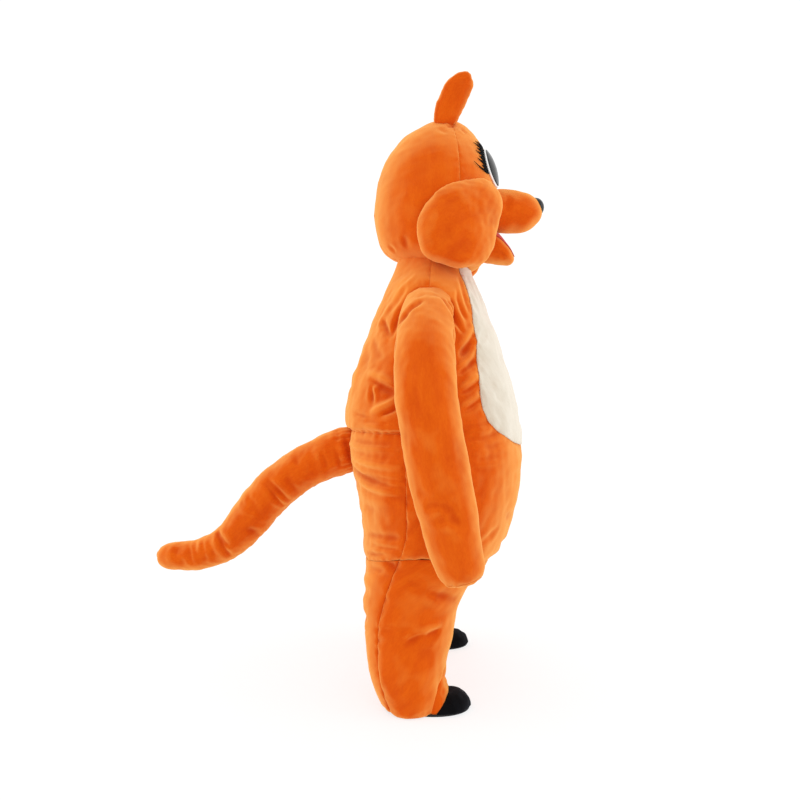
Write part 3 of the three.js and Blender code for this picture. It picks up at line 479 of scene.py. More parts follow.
def in_place(piece, slot, *nodes):
    """The piece goes with the suit, stands for these solids and takes its finish from this slot."""
    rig.ride(piece, "root")
    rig.slot(piece, slot)
    if nodes:
        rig.replaces(piece, *nodes)
    return piece


DEEPEST = 8  # a crease this deep gets the most painted shade, and a ridge this high the most painted highlight


def hollow_of(relief):
    return np.clip(-relief / DEEPEST, -1, 1)


def cloth_place(outer, ring):
    """Where each point of a grid lies on its cut, which is rolled up if the grid is a ring."""
    across, along = lengths(outer, 1), lengths(outer, 0)
    along = along.mean(1, keepdims=True) + np.zeros(along.shape)
    if not ring:
        return np.stack([across, 0 * across, along], -1)
    radius = across.max(1, keepdims=True) / 6
    turn = np.arange(outer.shape[1]) * 2 * np.pi / outer.shape[1]
    return np.stack([radius * np.cos(turn), radius * np.sin(turn), along], -1)


def cloth_wall(name, outer, inner, relief, material, ring=False, keep=None, mirror=False):
    """A wall of cloth between two grids of points."""
    rows, columns = outer.shape[:2]
    if keep is None:
        keep = np.ones((rows - 1, columns if ring else columns - 1), bool)
    points = np.concatenate([outer.reshape(-1, 3), inner.reshape(-1, 3)])
    cloth = cloth_place(outer, ring).reshape(-1, 3)
    hollow = hollow_of(relief).ravel()
    if mirror:
        points = points * [-1, 1, 1]
    faces = wall_faces(rows, columns, ring, keep)
    both = np.concatenate([hollow, hollow]), np.concatenate([cloth, cloth])
    return mesh_object(name, points, faces, material, *both)


def closed_behind(inner, reach=0.4):
    """The inner side of a panel, let out at its edges, where the seam allowances meet behind the
    seam and shut it."""
    wider = inner.copy()
    for edge, beside in ((0, 1), (-1, -2)):
        wider[edge] += reach * unit(inner[edge] - inner[beside])
        wider[:, edge] += reach * unit(inner[:, edge] - inner[:, beside])
    return wider


def cut_of(smooth, keep=None):
    """The flat size of a panel before it was sewn, in metres, and its area."""
    grid = smooth / 1000
    width, length = lengths(grid, 1)[:, -1].max(), lengths(grid, 0)[-1].max()
    one, other = np.diff(grid[:-1], axis=1), np.diff(grid[:, :-1], axis=0)
    areas = np.linalg.norm(np.cross(one, other), axis=-1)
    if keep is not None:
        areas = areas * keep
    return dict(flat=(round(width, 3), round(length, 3)), area=round(float(areas.sum()), 3))


# Short-pile polyester plush, knitted, cut and brushed: matt and deep in colour where it is seen square on, with a
# painted sheen that makes it pale where it turns edge-on to the view. Strokes of a hand leave soft lighter and darker
# patches in the nap, and painted shade darkens it in a crease, with a painted highlight on a ridge.


def colour(code):
    """A linear colour from an sRGB hex value."""
    parts = [int(code[i:i + 2], 16) / 255 for i in (1, 3, 5)]
    linear = [p / 12.92 if p <= 0.04045 else ((p + 0.055) / 1.055) ** 2.4 for p in parts]
    return (*linear, 1)


def node(tree, kind, inputs=None, **settings):
    """Adds a node with its settings, and sets or links its inputs by name or number."""
    made = tree.nodes.new(kind)
    for name, value in settings.items():
        setattr(made, name, value)
    for name, value in (inputs or {}).items():
        if isinstance(value, bpy.types.NodeSocket):
            tree.links.new(value, made.inputs[name])
        else:
            made.inputs[name].default_value = value
    return made


def new_material(name):
    """A material with only an output, and its node tree."""
    material = bpy.data.materials.new(name)
    material.use_nodes = True
    material.node_tree.nodes.clear()
    return material, material.node_tree


def finish(tree, shader):
    node(tree, "ShaderNodeOutputMaterial", {"Surface": shader.outputs[0]})


def plush_material(name, shade, face, light, crease_shade, tip, edge, sheen, tint):
    """Plush in one dye: shade and light are the nap stroked down and up, and face is between them. The colour for a
    crease is painted shade deep in a fold, tip is a painted highlight on a ridge, and edge is a painted sheen where
    the plush turns edge-on to the view."""
    material, tree = new_material(name)
    where = node(tree, "ShaderNodeAttribute", attribute_name="cloth").outputs["Vector"]
    strokes = node(tree, "ShaderNodeMapping", {"Vector": where, "Scale": (1, 1, 0.4)}).outputs[0]
    # hand strokes about 45 mm wide and 110 mm long, and clumps of pile about 4 mm across
    nap = node(tree, "ShaderNodeTexNoise", {
        "Vector": strokes, "Scale": 22, "Detail": 4, "Roughness": 0.62})
    clumps = node(tree, "ShaderNodeTexNoise", {
        "Vector": strokes, "Scale": 240, "Detail": 3, "Roughness": 0.7})
    # single tufts are about 0.5 mm, and are drawn 1.6 mm across so that they show
    tufts = node(tree, "ShaderNodeTexNoise", {"Vector": where, "Scale": 620, "Detail": 2})
    mixed = node(tree, "ShaderNodeMix", {0: 0.36, 2: nap.outputs[0], 3: clumps.outputs[0]})
    ramp = node(tree, "ShaderNodeValToRGB", {"Fac": mixed.outputs[0]})
    stops = ramp.color_ramp.elements
    stops[0].position, stops[0].color = 0.38, colour(shade)
    stops[1].position, stops[1].color = 0.64, colour(light)
    stops.new(0.5).color = colour(face)
    hollow = node(tree, "ShaderNodeAttribute", attribute_name="hollow").outputs["Fac"]
    # painted shade: how much of the crease colour a fold gets, by how deep it is
    deep = node(tree, "ShaderNodeMapRange", {
        "Value": hollow, "From Min": 0.15, "From Max": 0.95, "To Max": 0.62})
    # painted highlight: how much of the paler tip colour a ridge gets, by how high it is
    ridge_highlight = node(tree, "ShaderNodeMapRange", {
        "Value": hollow, "From Min": -0.15, "From Max": -0.95, "To Max": 0.6})
    # painted sheen: a pale colour where the plush turns edge-on to the view, held back in a fold where painted shade
    # lies
    turned = node(tree, "ShaderNodeLayerWeight", {"Blend": 0.5}).outputs["Facing"]
    rim_sheen = node(tree, "ShaderNodeMapRange", {
        "Value": turned, "From Min": 0.17, "From Max": 0.86, "To Max": 0.76})
    outside_crease = node(tree, "ShaderNodeMath", {0: 1.0, 1: deep.outputs[0]}, operation="SUBTRACT")
    painted_rim_sheen = node(tree, "ShaderNodeMath", {
        0: rim_sheen.outputs[0], 1: outside_crease.outputs[0]}, operation="MULTIPLY")
    dyed = ramp.outputs[0]
    for share, dye in ((ridge_highlight, tip), (deep, crease_shade), (painted_rim_sheen, edge)):
        dyed = node(tree, "ShaderNodeMix", {
            0: share.outputs[0], 6: dyed, 7: colour(dye)}, data_type="RGBA").outputs[2]
    pile = node(tree, "ShaderNodeMix", {0: 0.5, 2: clumps.outputs[0], 3: tufts.outputs[0]})
    bump = node(tree, "ShaderNodeBump", {
        "Strength": 0.55, "Distance": 0.0012, "Height": pile.outputs[0]})
    finish(tree, node(tree, "ShaderNodeBsdfPrincipled", {
        "Base Color": dyed, "Roughness": 0.92, "Specular IOR Level": 0.08,
        "Sheen Weight": sheen, "Sheen Roughness": 0.45, "Sheen Tint": colour(tint),
        "Normal": bump.outputs[0]}))
    return material


# bc3401 is painted shade in a crease, #f08a34 a painted highlight on a ridge, and #fdb055 a painted sheen where the
# plush turns edge-on to the view
ORANGE = plush_material(
    "orange_short_pile_plush", "#d35004", "#da5806", "#e0610a", "#bc3401", "#f08a34", "#fdb055",
    0.4, "#ffd090")

# The arm pulls the plush into a fan of folds in front of and behind the armhole, and the tail's
# weight draws long soft ones.
TORSO_CREASES = [
    # behind the arm, from the shoulder down
    (114, 1290, 131, 1200, -8, 4, 12),
    (114, 1230, 119, 1112, 6, 8, 10),
    (132, 1236, 140, 1150, 5, -4, 13),
    (98, 1296, 112, 1236, -5, 5, 9),
    (106, 1318, 124, 1262, -6, -4, 10),
    (139, 1186, 120, 1112, -5, 8, 10),
    (143, 1120, 122, 1052, 4, 4, 13),
    (152, 1120, 148, 930, 6, -5, 24),
    (161, 1080, 160, 900, -5, 4, 20),
    (136, 1014, 110, 964, -5, -6, 12),
    (132, 992, 109, 946, -3, 9, 11),
    (128, 972, 124, 914, 3, 7, 8),
    (124, 956, 108, 944, 0, 7, 22),
    (126, 888, 107, 930, 3, -8, 10),
    (119, 880, 106, 906, 2, 9, 8),
    (144, 886, 114, 868, 3, 5, 8),
    (132, 860, 110, 856, 0, 5, 7),
    (136, 848, 118, 844, 0, -3, 7),
    # below the waist seam, from the tail forwards
    (161, 768, 106, 754, 6, 4, 10),
    (156, 802, 112, 798, 4, 3, 9),
    (168, 786, 106, 780, 5, -4, 7),
    (154, 746, 105, 728, 6, -4, 7),
    (153, 730, 105, 708, 6, 4, 7),
    (152, 712, 106, 676, 7, -4, 7),
    (147, 668, 110, 646, 5, -3.5, 8),
    (168, 706, 105, 686, 7, 7, 14),
    (147, 692, 105, 664, 4, 5, 11),
    (148, 648, 105, 640, 5, 4, 13),
    (158, 602, 128, 590, 3, 3, 15),
    (147, 498, 108, 503, -4, 5, 13),
    (140, 470, 112, 462, 3, 4, 10),
    (149, 430, 122, 436, 2, 6, 9),
    # in front of the arm
    (50, 1326, 50, 1190, 8, 5, 10),
    (60, 1270, 56, 1168, 6, 6, 9),
    (69, 1240, 61, 1126, 6, 8, 9),
    (67, 1080, 49, 1164, 4, -6, 10),
    (67, 1056, 51, 1136, 3, 9, 12),
    (69, 1022, 54, 1078, 3, -5, 9),
    (70, 1000, 54, 1050, 3, 8, 11),
    (70, 960, 54, 1004, 2, -5, 9),
    (70, 940, 55, 982, 2, 6, 9),
    (70, 908, 56, 944, 2, -4, 8),
    (70, 888, 57, 926, 2, 5, 8),
    (68, 846, 50, 860, 2, 4, 11),
    (69, 808, 44, 829, 4, 4, 10),
    (67, 783, 37, 802, 4, 3.5, 11),
    (67, 750, 41, 766, 4, 4, 12),
    (68, 722, 46, 729, 3, 3, 11),
    (62, 640, 30, 648, 3, 2.5, 18),
    (55, 490, 42, 541, 4, 4, 13),
    (70, 470, 56, 446, 2, 5, 10),
    # across the middle of the belly and of the seat, which only other views show
    (30, 700, 6, 712, 4, 3, 13),
    (34, 560, 8, 575, 5, 3, 15),
    (26, 470, 6, 452, 3, 5, 12),
    (176, 690, 162, 640, 3, 5, 12),
    (172, 560, 150, 548, 4, 4, 14),
    (174, 1010, 163, 960, 4, 4, 16),
    (172, 1180, 160, 1120, 4, 4, 14),
]
LEFT_TORSO_CREASES = similar(TORSO_CREASES, 11)

class Limb(Form):
    """A tube round a middle line of x, y and height. wide is its half width along the direction
    across, and thick the one square to it, or radius is both."""

    def __init__(self, columns, rows, across):
        super().__init__(columns, rows)
        self.across = np.array(across, float)
        self.run = lengths(self.middle(self.fine)[:, None], 0)[:, 0]

    def middle(self, t):
        row = self.row(t)
        return np.stack([row.get("x", 0 * t), row["y"], row["height"]], -1)

    def axes(self, t):
        """The middle at t, and the directions of the wide and thick axes there."""
        along = unit(self.middle(t + 0.01) - self.middle(t - 0.01))
        wide = unit(self.across - along * (along @ self.across)[..., None])
        return self.middle(t), wide, np.cross(along, wide)

    def halves(self, t):
        row = self.row(t)
        return row.get("wide", row.get("radius")), row.get("thick", row.get("radius"))

    def point(self, turn, t):
        """The point of the smooth surface at a turn, in degrees from the wide axis, and at t."""
        middle, wide, thick = self.axes(t)
        half, depth = self.halves(t)
        c, s = np.cos(np.radians(turn)), np.sin(np.radians(turn))
        return middle + wide * (half * c)[..., None] + thick * (depth * s)[..., None]

    def share_of(self, points, last):
        """How far points lie from the middle line, as a share of the limb's size, and their turn.
        Only the rows up to last are looked at."""
        places = np.linspace(0, last, 60)
        middle, wide, thick = self.axes(places)
        flat = points.reshape(-1, 3)
        nearest = np.linalg.norm(flat[:, None] - middle[None], axis=-1).argmin(1)
        off = flat - middle[nearest]
        half, depth = self.halves(places[nearest])
        w = (off * wide[nearest]).sum(-1) / half
        k = (off * thick[nearest]).sum(-1) / depth
        shape = points.shape[:-1]
        return np.hypot(w, k).reshape(shape), np.degrees(np.arctan2(k, w)).reshape(shape)


# The sleeve's middle line, from inside the shoulder to the mitt. wide is its half width from front
# to back, and thick from the body outwards.
SLEEVE = Limb("x y height wide thick", [
    (-150, 5, 1226, 76, 72),
    (-266, 8, 1160, 84, 78),
    (-354, 10, 1070, 89, 79),
    (-406, 4, 960, 88, 76),
    (-429, -12, 840, 87, 75),
    (-439, -38, 700, 87, 74),
    (-441, -70, 560, 79, 68),
    (-438, -93, 465, 67, 57),
    (-436, -101, 428, 53, 44),
], across=(0, 1, 0))
# The tail's middle line, from inside the seat to its tip.
TAIL = Limb("y height radius", [
    (235, 764, 76),
    (300, 750, 79),
    (362, 729, 78),
    (425, 700, 75),
    (487, 662, 75),
    (545, 617, 74),
    (594, 567, 71),
    (640, 510, 71),
    (692, 452, 65),
    (752, 406, 58),
    (826, 379, 53),
    (895, 372, 49),
    (940, 374, 43),
    (963, 377, 30),
    (971, 378, 14),
], across=(1, 0, 0))
SLEEVE_ROOT, SLEEVE_ROWS = 80, 3  # the half width at the armhole, and the rows that lie near it
TAIL_ROOT, TAIL_ROWS = 77, 2
ARMHOLE = 0.93  # the edge of the armhole, as a share of the sleeve
# The padded body fills the shoulder out to the sleeve's top, more and more between two heights. The
# filling fades away from the sleeve.
FILLING = dict(thick=11, fades=46, low=1190, high=1260)
# The cream panel's edge by height and angle.
BELLY_EDGE = np.array([
    (380, 48), (780, 52), (930, 56), (1000, 55), (1080, 51.5), (1160, 48.5), (1240, 45.5),
    (1310, 44), (1350, 45.5), (1400, 48),
], float)
BELLY_FOOT = 778  # the lowest height of the cream panel's round foot
BELLY_SIDE = 932  # the foot's curve starts here
FOOT_SQUARE = 2.4


def belly_edge(height):
    return np.interp(height, *BELLY_EDGE.T)


def belly_outline():
    """The cream panel's edge on the right, from the middle of its foot up to the neck."""
    turn = np.radians(np.linspace(90, 0, 60))
    across = np.sign(np.cos(turn)) * np.abs(np.cos(turn)) ** (2 / FOOT_SQUARE)
    down = np.sin(turn) ** (2 / FOOT_SQUARE)
    foot_heights = BELLY_SIDE - (BELLY_SIDE - BELLY_FOOT) * down
    heights = np.linspace(BELLY_SIDE + 4, NECK - 2, 110)
    angles = np.concatenate([across * belly_edge(BELLY_SIDE), belly_edge(heights)])
    return angles, np.concatenate([foot_heights, heights])


OUTLINE = belly_outline()


def off_belly(angle, height):
    """The distance to the cream panel's edge."""
    girth = TORSO.girth(TORSO.at(height)).ravel()
    x, y = np.abs(angle).ravel() * girth, height.ravel()
    edge_angle, edge_height = OUTLINE
    edge_x = edge_angle * TORSO.girth(TORSO.at(edge_height))
    away = np.full(x.shape, 1e3)
    near = np.abs(x - np.interp(y, edge_height, edge_x)) < 150
    if near.any():
        gaps = np.hypot(x[near][:, None] - edge_x[None], y[near][:, None] - edge_height[None])
        away[near] = gaps.min(1)
    return away.reshape(angle.shape)


def over_to_right(points):
    """The points, brought over to the right side, where the sleeve's middle line is."""
    return np.stack([-np.abs(points[..., 0]), points[..., 1], points[..., 2]], -1)


def torso_relief(angle, t, points):
    """What folds, seams, the armhole and the tail's gathers add to the torso, on both sides."""
    height, girth = TORSO.row(t)["height"], TORSO.girth(t)
    wrapped = np.abs((angle + 180) % 360 - 180)
    right = np.sin(np.radians(angle)) >= 0
    folds = both_sides(TORSO, TORSO_CREASES, LEFT_TORSO_CREASES, right, angle, height)
    total = folds * np.clip(np.minimum(wrapped, 180 - wrapped) / 3, 0.25, 1) + slack(points)
    total += sewn((wrapped - side_seam(height)) * girth, points)
    total += sewn((180 - wrapped) * girth, points, depth=2.6)
    total += sewn(wrapped * girth, points, depth=2.2)
    total += sewn(height - LEG_SEAM, points, depth=3.2)
    behind = wrapped > side_seam(height)
    total += np.where(behind, sewn(height - WAIST_SEAM, points, depth=3.6), 0)
    total += sewn(off_belly(wrapped, height), points, depth=2.0, reach=5)
    share = SLEEVE.share_of(over_to_right(points), SLEEVE_ROWS)[0]
    off = np.maximum((share - 1) * SLEEVE_ROOT, 0)
    total += sewn(off, points, depth=3, reach=8) * (share < 2)
    # inside the armhole the filling ends
    filled = np.exp(-((off / FILLING["fades"]) ** 2)) * np.clip((share - 0.86) / 0.14, 0, 1)
    raised = np.clip((height - FILLING["low"]) / (FILLING["high"] - FILLING["low"]), 0, 1)
    total += FILLING["thick"] * filled * raised
    share, turn = TAIL.share_of(points, TAIL_ROWS)
    off = np.maximum((share - 1) * TAIL_ROOT, 0)
    pulled = 1.5 * gathers(turn, 21, 1.7, 3) * np.exp(-off / 16) - 3.5 * np.exp(-off / 9)
    return total + pulled * (points[..., 1] > 0)


TORSO.relief = torso_relief


def half_gap(form, t):
    """The angle that a panel's edge is drawn back from its seam."""
    return np.minimum(SEAM / 2 / np.maximum(form.girth(t), 1e-4), 2)


def form_grid(form, low, high, from_angle, to_angle, step=STEP):
    """The angles and rows of a panel's points, between two heights and two seams."""
    t0, t1 = form.at(low), form.at(high)
    middle = (t0 + t1) / 2
    width = (to_angle((low + high) / 2) - from_angle((low + high) / 2)) * form.girth(middle)
    trial = np.linspace(t0, t1, 40)
    ends = form.smooth(np.full(40, from_angle((low + high) / 2)), trial)
    drop = lengths(ends[:, None], 0)[:, 0]
    t = np.interp(stations(drop[-1], step), drop / drop[-1], trial)
    u = stations(width, step)
    heights = form.row(t)["height"]
    start = np.array([from_angle(h) for h in heights]) + half_gap(form, t)
    end = np.array([to_angle(h) for h in heights]) - half_gap(form, t)
    angle = start[:, None] + (end - start)[:, None] * u[None]
    return angle, np.repeat(t[:, None], len(u), axis=1)


def straight(angle):
    """A panel's edge at one angle at every height."""
    return lambda height: angle


def plush_panel(form, angle, t, name, node_name, cut_out, mirror=False, **lying):
    """A panel of orange plush on a form, with a hole where cut_out holds for its smooth points."""
    outer, relief = form.surface(angle, t)
    smooth = form.smooth(angle, t)
    inner = closed_behind(outer - form.normal(angle, t) * PLUSH)
    cut = cut_out(smooth)
    keep = ~(cut[:-1, :-1] & cut[1:, :-1] & cut[:-1, 1:] & cut[1:, 1:])
    piece = cloth_wall(name, outer, inner, relief, ORANGE, keep=keep, mirror=mirror)
    in_place(piece, "orange_plush", node_name)
    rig.sheet(piece, held="stretched", **lying, **cut_of(smooth, keep))


def in_armhole(points):
    """Whether points lie in an armhole, and not in the middle of the body."""
    share = SLEEVE.share_of(over_to_right(points), SLEEVE_ROWS)[0]
    return (share < ARMHOLE) & (np.abs(points[..., 0]) > 60)


FRONT = LEG_SEAM + SEAM / 2, NECK, straight(0), side_seam
UPPER_BACK = WAIST_SEAM + SEAM / 2, NECK, side_seam, straight(180)
SEAT = LEG_SEAM + SEAM / 2, WAIST_SEAM - SEAM / 2, side_seam, straight(180)
for left, side in SIDES:
    for name, bounds, rests_on in (
            ("front_panel", FRONT, []),
            ("upper_back", UPPER_BACK, ["zip_tape_woven"]),
            ("seat", SEAT, [])):
        # each side is worked out in its own place, so that no two fold alike
        angle, t = form_grid(TORSO, *bounds)
        plush_panel(TORSO, -angle if left else angle, t, f"{name}_plush_{side}", f"{name}_{side}",
                    in_armhole, rests_on=rests_on)

# ---- Cream belly panel ---------------------------------------------------------------------------
# One piece of cream plush from the neck to a round foot over the stomach. It lies on the fronts and
# is stitched down along its edge, which is turned under.

BELLY_CREASES = [
    (52, 1099, 36, 1144, 3, 6, 9),
    (53, 985, 42, 972, 4, 5, 22),
    (34, 972, 22, 950, 4, 4, 24),
    (46, 940, 28, 930, 3, 3, 22),
    (36, 1330, 33, 1235, 4, 4, 10),
    (24, 1340, 25, 1220, 4, 3.5, 12),
    (44, 1270, 40, 1190, 3, 4, 9),
    (10, 1320, 12, 1210, 3, 3, 14),
    (30, 1060, 14, 1080, 4, 2.5, 18),
    (20, 870, 4, 862, 3, 2.5, 18),
]
BELLY_GAP = 0.8  # from the fronts
LEVEL = 200  # this far above the foot's curve, the rows have become level
HALF_GIRTH = 260  # from the panel's middle to its edge, about

# b59c80 is painted shade in a crease, #e3dac9 a painted highlight on a ridge, and #eee7da a painted sheen where the
# plush turns edge-on to the view
CREAM = plush_material(
    "cream_short_pile_plush", "#cabda9", "#d3c8b5", "#dbd2c2", "#b59c80", "#e3dac9", "#eee7da",
    0.3, "#fff4e2")


def belly_grid():
    """Rows that follow the round foot below and are level above, with the angles' shares of the
    edge, so that the panel's last column lies on its outline."""
    half = stations(HALF_GIRTH, start=False)
    shares = np.concatenate([-half[::-1], half[1:]])
    # just short of the whole curve, which would stand upright at the panel's side
    curve = 1 - (1 - np.abs(shares) ** FOOT_SQUARE * 0.9996) ** (1 / FOOT_SQUARE)
    foot, top = BELLY_FOOT + (BELLY_SIDE - BELLY_FOOT) * curve, BELLY_SIDE + LEVEL
    heights, angles = [], []
    for share in stations(top - BELLY_FOOT, end=False):
        heights.append(foot + (top - foot) * share)
        angles.append(shares * belly_edge(np.maximum(heights[-1], BELLY_SIDE)))
    last = TORSO.row(np.array(TORSO.last - 0.1))["height"]
    for height in np.linspace(top, last, round((last - top) / STEP))[1:]:
        heights.append(np.full(shares.shape, height))
        angles.append(shares * belly_edge(height))
    return np.array(angles), TORSO.at(np.array(heights))


angle, t = belly_grid()
outer, relief = TORSO.surface(angle, t, BELLY_GAP)
normal = TORSO.normal(angle, t)
height = TORSO.row(t)["height"]
extra = both_sides(TORSO, BELLY_CREASES, similar(BELLY_CREASES, 31), angle > 0, angle, height)
inwards = off_belly(angle, height)
puff = 1 - np.exp(-inwards / 2.4)  # the edge is turned down to the fronts
extra = np.maximum(extra, -BELLY_GAP * 2) * puff + 2.0 * puff * (1 - np.exp(-inwards / 30))
least = 1.2  # the plush pressed flat
thick = (PLUSH - least) * (0.35 + 0.65 * puff) + np.maximum(extra, -least) + least
over = outer + normal * thick[..., None]
belly = cloth_wall("belly_plush", over, outer, relief + extra, CREAM)
in_place(belly, "cream_plush", "belly_panel")
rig.sheet(belly, held="stretched", rests_on=["front_panel_plush_right", "front_panel_plush_left"],
         **cut_of(TORSO.smooth(angle, t)))


def small_material(name, dark, light, pattern, surface, raised=None, rough=None, grain=None,
                   on_cloth=False):
    """The material of a small piece, which runs from a dark tone to a light one in a pattern, and
    whose surface is the shader's other values. raised is the strength and the height in metres of
    its relief, rough its least and most roughness, and grain another pattern for the relief."""
    material, tree = new_material(name)
    if on_cloth:
        where = node(tree, "ShaderNodeAttribute", attribute_name="cloth").outputs["Vector"]
    else:
        where = node(tree, "ShaderNodeTexCoord").outputs["Object"]
    drawn = [
        node(tree, f"ShaderNodeTex{kind}", {"Vector": where, **sizes}, **dict(settings)).outputs[0]
        for kind, sizes, *settings in ([pattern, grain] if grain else [pattern])]
    tone = node(tree, "ShaderNodeMix", {
        0: drawn[0], 6: colour(dark), 7: colour(light)}, data_type="RGBA")
    values = {"Base Color": tone.outputs[2], **surface}
    if raised:
        relief = node(tree, "ShaderNodeBump", {
            "Strength": raised[0], "Distance": raised[1], "Height": drawn[-1]})
        values["Normal"] = relief.outputs[0]
    if rough:
        uneven = node(tree, "ShaderNodeMapRange", {
            "Value": drawn[0], "To Min": rough[0], "To Max": rough[1]})
        values["Roughness"] = uneven.outputs[0]
    finish(tree, node(tree, "ShaderNodeBsdfPrincipled", values))
    return material


def thread_material(name, dark, light):
    """Twisted polyester thread, whose turns are drawn 1 mm apart, coarser than they are."""
    return small_material(
        name, dark, light, ("Wave", {"Scale": 300}, ("bands_direction", "DIAGONAL")),
        {"Roughness": 0.6, "Sheen Weight": 0.3}, raised=(0.4, 0.0002))


def path_tree(name, sizes, shape):
    """Nodes that set a shape at even spaces along a line, square to it and facing out of the cloth.
    sizes are the tree's own inputs. shape makes what is set there, and gives it and its scale."""
    tree = bpy.data.node_groups.new(name, "GeometryNodeTree")
    tree.interface.new_socket("Geometry", in_out="INPUT", socket_type="NodeSocketGeometry")
    tree.interface.new_socket("Geometry", in_out="OUTPUT", socket_type="NodeSocketGeometry")
    tree.interface.new_socket("Material", in_out="INPUT", socket_type="NodeSocketMaterial")
    for size in ["Spacing", "Slant", "Unevenness"] + sizes:
        tree.interface.new_socket(size, in_out="INPUT", socket_type="NodeSocketFloat")
    given = node(tree, "NodeGroupInput").outputs
    line = node(tree, "GeometryNodeMeshToCurve", {"Mesh": given["Geometry"]})
    spots = node(tree, "GeometryNodeCurveToPoints", {
        "Curve": line.outputs[0], "Length": given["Spacing"]}, mode="LENGTH")
    out = node(tree, "GeometryNodeInputNamedAttribute", {"Name": "out"}, data_type="FLOAT_VECTOR")
    ahead = node(tree, "FunctionNodeAlignRotationToVector", {
        "Vector": spots.outputs["Tangent"]}, axis="X")
    upright = node(tree, "FunctionNodeAlignRotationToVector", {
        "Rotation": ahead.outputs[0], "Vector": out.outputs["Attribute"]}, axis="Z", pivot_axis="X")
    slants = {0: given["Slant"], 1: given["Unevenness"]}
    low = node(tree, "ShaderNodeMath", slants, operation="SUBTRACT")
    high = node(tree, "ShaderNodeMath", slants, operation="ADD")
    chance = node(tree, "FunctionNodeRandomValue", {
        2: low.outputs[0], 3: high.outputs[0], "Seed": 7})
    slant = node(tree, "ShaderNodeCombineXYZ", {"Z": chance.outputs[1]})
    turned = node(tree, "FunctionNodeRotateRotation", {
        "Rotation": upright.outputs[0], "Rotate By": slant.outputs[0]}, rotation_space="LOCAL")
    made, scale = shape(tree, given)
    placed = node(tree, "GeometryNodeInstanceOnPoints", {
        "Points": spots.outputs[0], "Instance": made, "Rotation": turned.outputs[0],
        "Scale": scale})
    real = node(tree, "GeometryNodeRealizeInstances", {"Geometry": placed.outputs[0]})
    smooth = node(tree, "GeometryNodeSetShadeSmooth", {"Geometry": real.outputs[0]})
    dressed = node(tree, "GeometryNodeSetMaterial", {
        "Geometry": smooth.outputs[0], "Material": given["Material"]})
    node(tree, "NodeGroupOutput", {"Geometry": dressed.outputs[0]})
    return tree


def set_along(name, tree, path, out, slot, ring=False, **sizes):
    """What a tree of nodes makes along a line of points, as a plain mesh. Sizes are in metres."""
    mesh = bpy.data.meshes.new(name)
    steps = [(i, (i + 1) % len(path)) for i in range(len(path) - (not ring))]
    mesh.from_pydata(to_metres(path).tolist(), steps, [])
    vector_attribute(mesh, "out", out)
    piece = linked(name, mesh)
    modifier = piece.modifiers.new("nodes", "NODES")
    modifier.node_group = tree
    for socket in tree.interface.items_tree:
        if socket.name in sizes:
            modifier[socket.identifier] = sizes[socket.name]
    shaped = piece.evaluated_get(bpy.context.evaluated_depsgraph_get())
    made = bpy.data.meshes.new_from_object(shaped)
    piece.modifiers.clear()
    piece.data = made
    return in_place(piece, slot)


def stitch_shape(tree, given):
    """One stitch: a short length of thread, rounded where it goes into the cloth."""
    half = node(tree, "ShaderNodeMath", {0: given["Length"], 1: 0.5}, operation="MULTIPLY")
    size = node(tree, "ShaderNodeCombineXYZ", {
        "X": half.outputs[0], "Y": given["Thickness"], "Z": given["Thickness"]})
    ball = node(tree, "GeometryNodeMeshUVSphere", {"Segments": 8, "Rings": 5, "Radius": 1.0})
    return ball.outputs[0], size.outputs[0]


STITCHES = path_tree("stitches", ["Length", "Thickness"], stitch_shape)
CREAM_THREAD = thread_material("cream_polyester_thread", "#cbb893", "#eadcc0")
INSET = 2  # columns and rows of the panel's grid between its edge and the stitches


def inside_edge(grid):
    """A grid's points along its left edge, its foot and its right edge, a little inside them."""
    foot = grid[INSET, INSET + 1:-1 - INSET]
    return np.concatenate([grid[INSET:, INSET][::-1], foot, grid[INSET:, -1 - INSET]])


set_along("belly_edge_stitching", STITCHES, inside_edge(over), inside_edge(normal), "cream_plush",
          Material=CREAM_THREAD, Spacing=0.006, Length=0.0044, Thickness=0.0004, Unevenness=0.08)

# ---- Sleeves and mitts ---------------------------------------------------------------------------
# Each sleeve is one tube of plush from the armhole to the mitt, which has no fingers. A rounded end
# closes it. The upper arm is pulled into short folds under the shoulder, and the elbow into soft
# ones.

SLEEVE_CREASES = [
    (292, 118, 268, 100, 3, 3, 10),
    (268, 112, 238, 100, 3, 3, 10),
    (277, 132, 306, 176, 4, 8, 10),
    (306, 172, 347, 190, 3, 7, 9),
    (300, 150, 330, 215, 5, 5, 12),
    (238, 94, 212, 138, 3, 7, 10),
    (214, 134, 180, 166, 3, 6, 9),
    (220, 80, 182, 118, 4, 8, 12),
    (188, 112, 180, 224, -4, 8, 11),
    (196, 190, 176, 270, 3, 5, 14),
    (344, 230, 368, 330, 4, 4, 16),
    (310, 706, 276, 702, 4, 5, 12),
    (278, 700, 252, 742, 4, 5, 12),
    (294, 752, 270, 742, 3, 5, 11),
    (272, 740, 246, 762, 3, 5, 12),
    (320, 660, 290, 680, 3, 3, 14),
    (262, 520, 246, 600, 5, 2.5, 20),
    (295, 380, 288, 470, 5, 2.5, 20),
    (60, 300, 110, 340, 5, 6, 14),
    (40, 360, 90, 390, 4, 5, 13),
    (70, 700, 120, 690, 4, 5, 13),
]


def crossing(holds, turn, low, high):
    """The place between low and high, one for each turn, where what holds at low stops holding.
    Gives the last that holds and the first that doesn't."""
    low, high = np.full(turn.shape, float(low)), np.full(turn.shape, float(high))
    for _ in range(26):
        middle = (low + high) / 2
        still = holds(middle)
        low, high = np.where(still, middle, low), np.where(still, high, middle)
    return low, high


def comes_out(form, point, turn, low, high):
    """Where lines that start inside a form come out of it, each at a turn of its own."""
    return crossing(lambda t: form.place(point(turn, t))[2] < 1, turn, low, high)[1]


